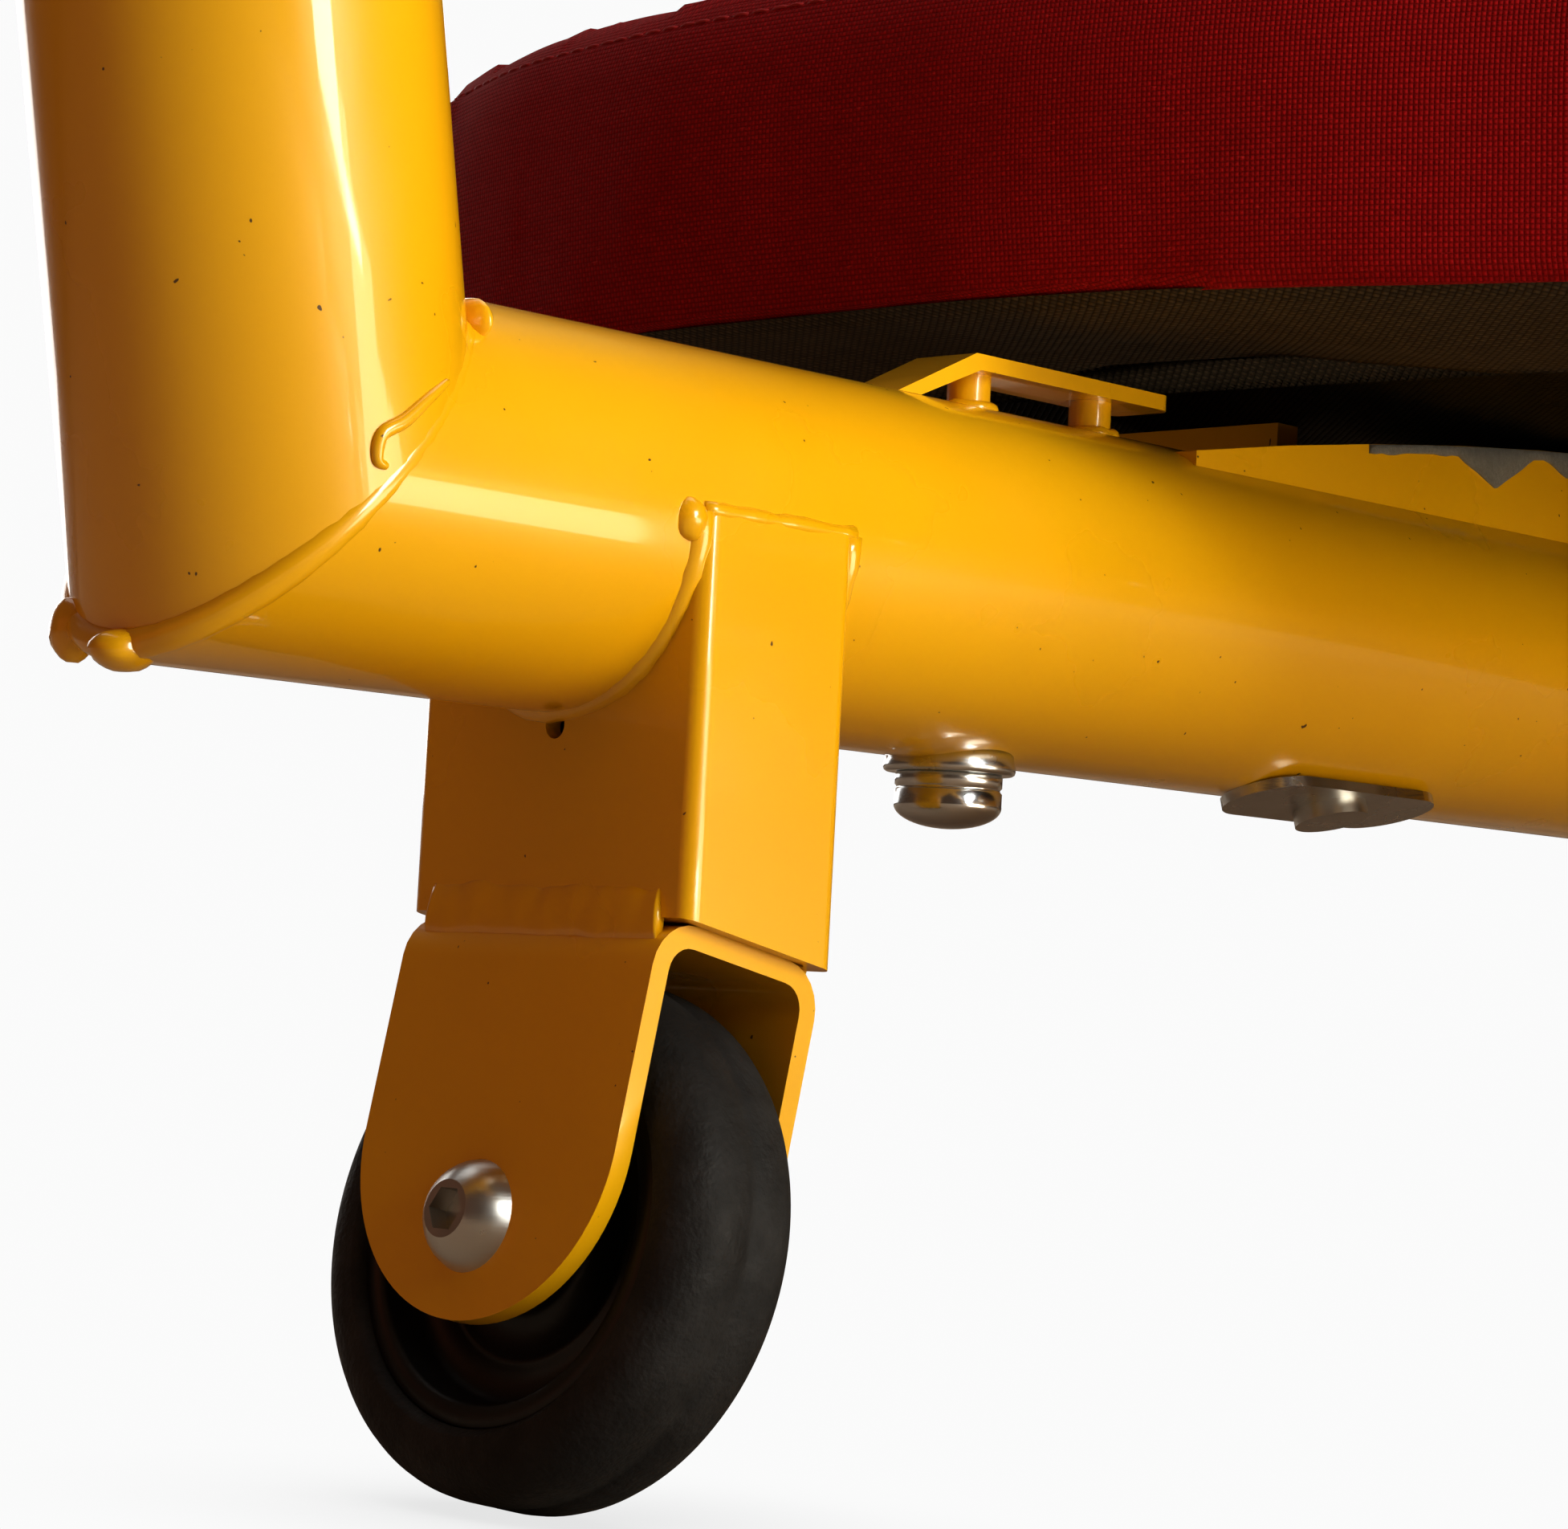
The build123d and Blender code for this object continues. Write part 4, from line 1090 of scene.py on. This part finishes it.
def underside_lining(low, supports):
    """Black woven lining stapled under the deck, sagging between its supports."""
    verts, faces, rings, count = [], [], [], 560
    for number in range(14):
        inset = 0.0012 + 0.0038 * number
        loop, _ = even_loop(pad_outline(inset), 0.001)
        ring = []
        for i in range(count):
            p = loop[round(i * len(loop) / count) % len(loop)]
            ripple = 0.0004 * noise.noise(Vector((p.x * 60, p.y * 60, 3)))
            height = low + 0.0006 if number == 0 else low - 0.0002 - lining_droop(p, inset, supports) + ripple
            ring.append(len(verts))
            verts.append(Vector((p.x, p.y, height)))
        rings.append(ring)
    for a, b in zip(rings, rings[1:]):
        faces += [(a[i], b[i], b[(i + 1) % count], a[(i + 1) % count]) for i in range(count)]
    faces.append(tuple(rings[-1]))
    mesh = mesh_from("underside_lining", verts, faces)
    layer = mesh.uv_layers.new(name="weave")
    for corner in mesh.loops:
        co = mesh.vertices[corner.vertex_index].co
        layer.data[corner.index].uv = (0.7 * (co.x + co.y), 0.7 * (co.y - co.x))
    piece = new_object("woven_underside_lining", mesh, LINING, "frame")
    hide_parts("underside_cover")


def felt_packing():
    """Grey felt between the head saddle and the lining, its torn front edge hanging over."""
    saddle_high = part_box("deck_saddles")[1]
    reach, steps = 0.128, 160
    front = HEAD_Y - 0.0138
    verts, faces = [], []
    for i in range(steps + 1):
        x = -reach + 2 * reach * i / steps
        arch = 0.0149 * (x / 0.168) ** 2
        tooth = 0.0050 * max(0.0, 1 - abs(abs(x) - 0.096) / 0.010)
        tooth += 0.0028 * max(0.0, 1 - abs(abs(x) - 0.076) / 0.007)
        torn = 0.0012 + tooth + 0.0010 * abs(noise.noise(Vector((x * 160, 3, 3))))
        top = saddle_high.z - arch
        for y, z in ((front + 0.004, top + 0.0002), (front, top - 0.0001), (front - 0.0003, top - torn)):
            verts.append(Vector((x, y, z)))
    for i in range(steps):
        for k in range(2):
            a = 3 * i + k
            faces.append((a, a + 1, a + 4, a + 3))
    piece = new_object("felt_packing_strip", mesh_from("felt", verts, faces), FELT, "frame")
    skin = piece.modifiers.new("thickness", "SOLIDIFY")
    skin.thickness = 0.0008


def upholstery():
    cushion(
        "canvas_main_cushion", "frame", "main_cushion", pad_outline, PAD_BOTTOM, PAD_TOP,
        0.005, 0.008, (LOBE_HEAD_Y - 0.115, LOBE_FOOT_Y + 0.115), BOARD_INSET,
    )
    cushion(
        "canvas_headrest_cushion", "headrest", "headrest_cushion", headrest_outline,
        rest_low.z, rest_high.z, 0.004, 0.007,
    )
    saddle_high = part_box("deck_saddles")[1]
    bar_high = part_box("deck_crossbars")[1]
    supports = [(y - 0.015, y + 0.015, saddle_high.x) for y in (HEAD_Y, FOOT_Y)]
    for i in range(1, 4):
        y = FOOT_Y + (HEAD_Y - FOOT_Y) * i / 4
        supports.append((y - 0.016, y + 0.016, bar_high.x))
    underside_lining(PAD_BOTTOM - 0.0004, supports)


# ---------------------------------------------------------------- stage, light, camera
def area_light(name, place, target, size, power, colour):
    data = bpy.data.lights.new(name, "AREA")
    data.shape = "RECTANGLE"
    data.size, data.size_y = size
    data.energy = power
    data.color = colour
    obj = bpy.data.objects.new(name, data)
    obj.location = place
    obj.rotation_euler = (Vector(target) - Vector(place)).to_track_quat("-Z", "Y").to_euler()
    obj.visible_camera = False
    bpy.context.scene.collection.objects.link(obj)


def studio():
    world = bpy.data.worlds.new("studio")
    bpy.context.scene.world = world
    world.use_nodes = True
    nodes, links = world.node_tree.nodes, world.node_tree.links
    light = nodes["Background"]
    light.inputs["Color"].default_value = (1.0, 0.60, 0.38, 1.0)
    light.inputs["Strength"].default_value = 0.09
    paper = nodes.new("ShaderNodeBackground")
    paper.inputs["Color"].default_value = (PAPER, PAPER, PAPER, 1.0)
    path = nodes.new("ShaderNodeLightPath")
    mix = nodes.new("ShaderNodeMixShader")
    links.new(path.outputs["Is Camera Ray"], mix.inputs[0])
    links.new(light.outputs[0], mix.inputs[1])
    links.new(paper.outputs[0], mix.inputs[2])
    links.new(mix.outputs[0], nodes["World Output"].inputs["Surface"])
    area_light("key_softbox", (0.03, -2.0, 0.72), (-0.3, 0.18, 0.12), (0.9, 1.2), 64, (1.0, 1.0, 0.94))
    area_light("top_softbox", (0.2, 0.6, 2.2), (0, 0, 0.1), (2.0, 2.0), 16, (1.0, 0.98, 0.95))
    area_light("side_fill", (-2.4, 0.6, 0.7), (-0.3, 0.1, 0.1), (1.8, 1.5), 4.6, (1.0, 0.20, 0.05))
    under_deck = ((-0.08, -0.22, 0.03), (-0.14, 0.18, 0.13), (0.3, 0.3))
    area_light("under_deck_bounce", *under_deck, 1.9, (1.0, 0.90, 0.72))
    area_light("rear_softbox", (0.8, 2.6, 0.9), (0, 0, 0.1), (2.0, 1.4), 24, (1.0, 0.98, 0.95))
    floor = mesh_from("floor", [(-8, -8, 0), (8, -8, 0), (8, 8, 0), (-8, 8, 0)], [(0, 1, 2, 3)])
    floor.materials.append(pale_floor())
    obj = bpy.data.objects.new("floor", floor)
    bpy.context.scene.collection.objects.link(obj)
    bpy.context.scene.view_settings.view_transform = "Standard"
    bpy.context.scene.view_settings.look = "None"
    bpy.context.scene.view_settings.gamma = 0.86


def camera():
    """Low beside the head end's left corner, looking in and slightly up."""
    yaw, pitch, roll = math.radians(45.994), math.radians(3.501), math.radians(3.075)
    eye = Vector((-HALF_TRACK, HEAD_Y, TUBE_Z)) + 2 * TUBE_R * Vector((-6.582, -8.128, -1.277))
    view = Vector((math.sin(yaw) * math.cos(pitch), math.cos(yaw) * math.cos(pitch), math.sin(pitch)))
    level = Vector((math.cos(yaw), -math.sin(yaw), 0))
    up = level.cross(view)
    right = math.cos(roll) * level + math.sin(roll) * up
    top = -math.sin(roll) * level + math.cos(roll) * up
    data = bpy.data.cameras.new("camera")
    data.sensor_width = 36.0
    data.lens = 99.79
    data.clip_start = 0.01
    obj = bpy.data.objects.new("camera", data)
    obj.matrix_world = Matrix.Translation(eye) @ Matrix((right, top, -view)).transposed().to_4x4()
    bpy.context.scene.collection.objects.link(obj)
    bpy.context.scene.camera = obj


def main():
    camera()
    studio()
    dress_cad_nodes()
    soften_edges(("strap_cleats",), 0.0006)
    folded_forks()
    frame_welds()
    filler_runs()
    post_welds()
    fork_welds()
    small_welds()
    wheels()
    dome_nuts()
    upholstery()
    felt_packing()


main()
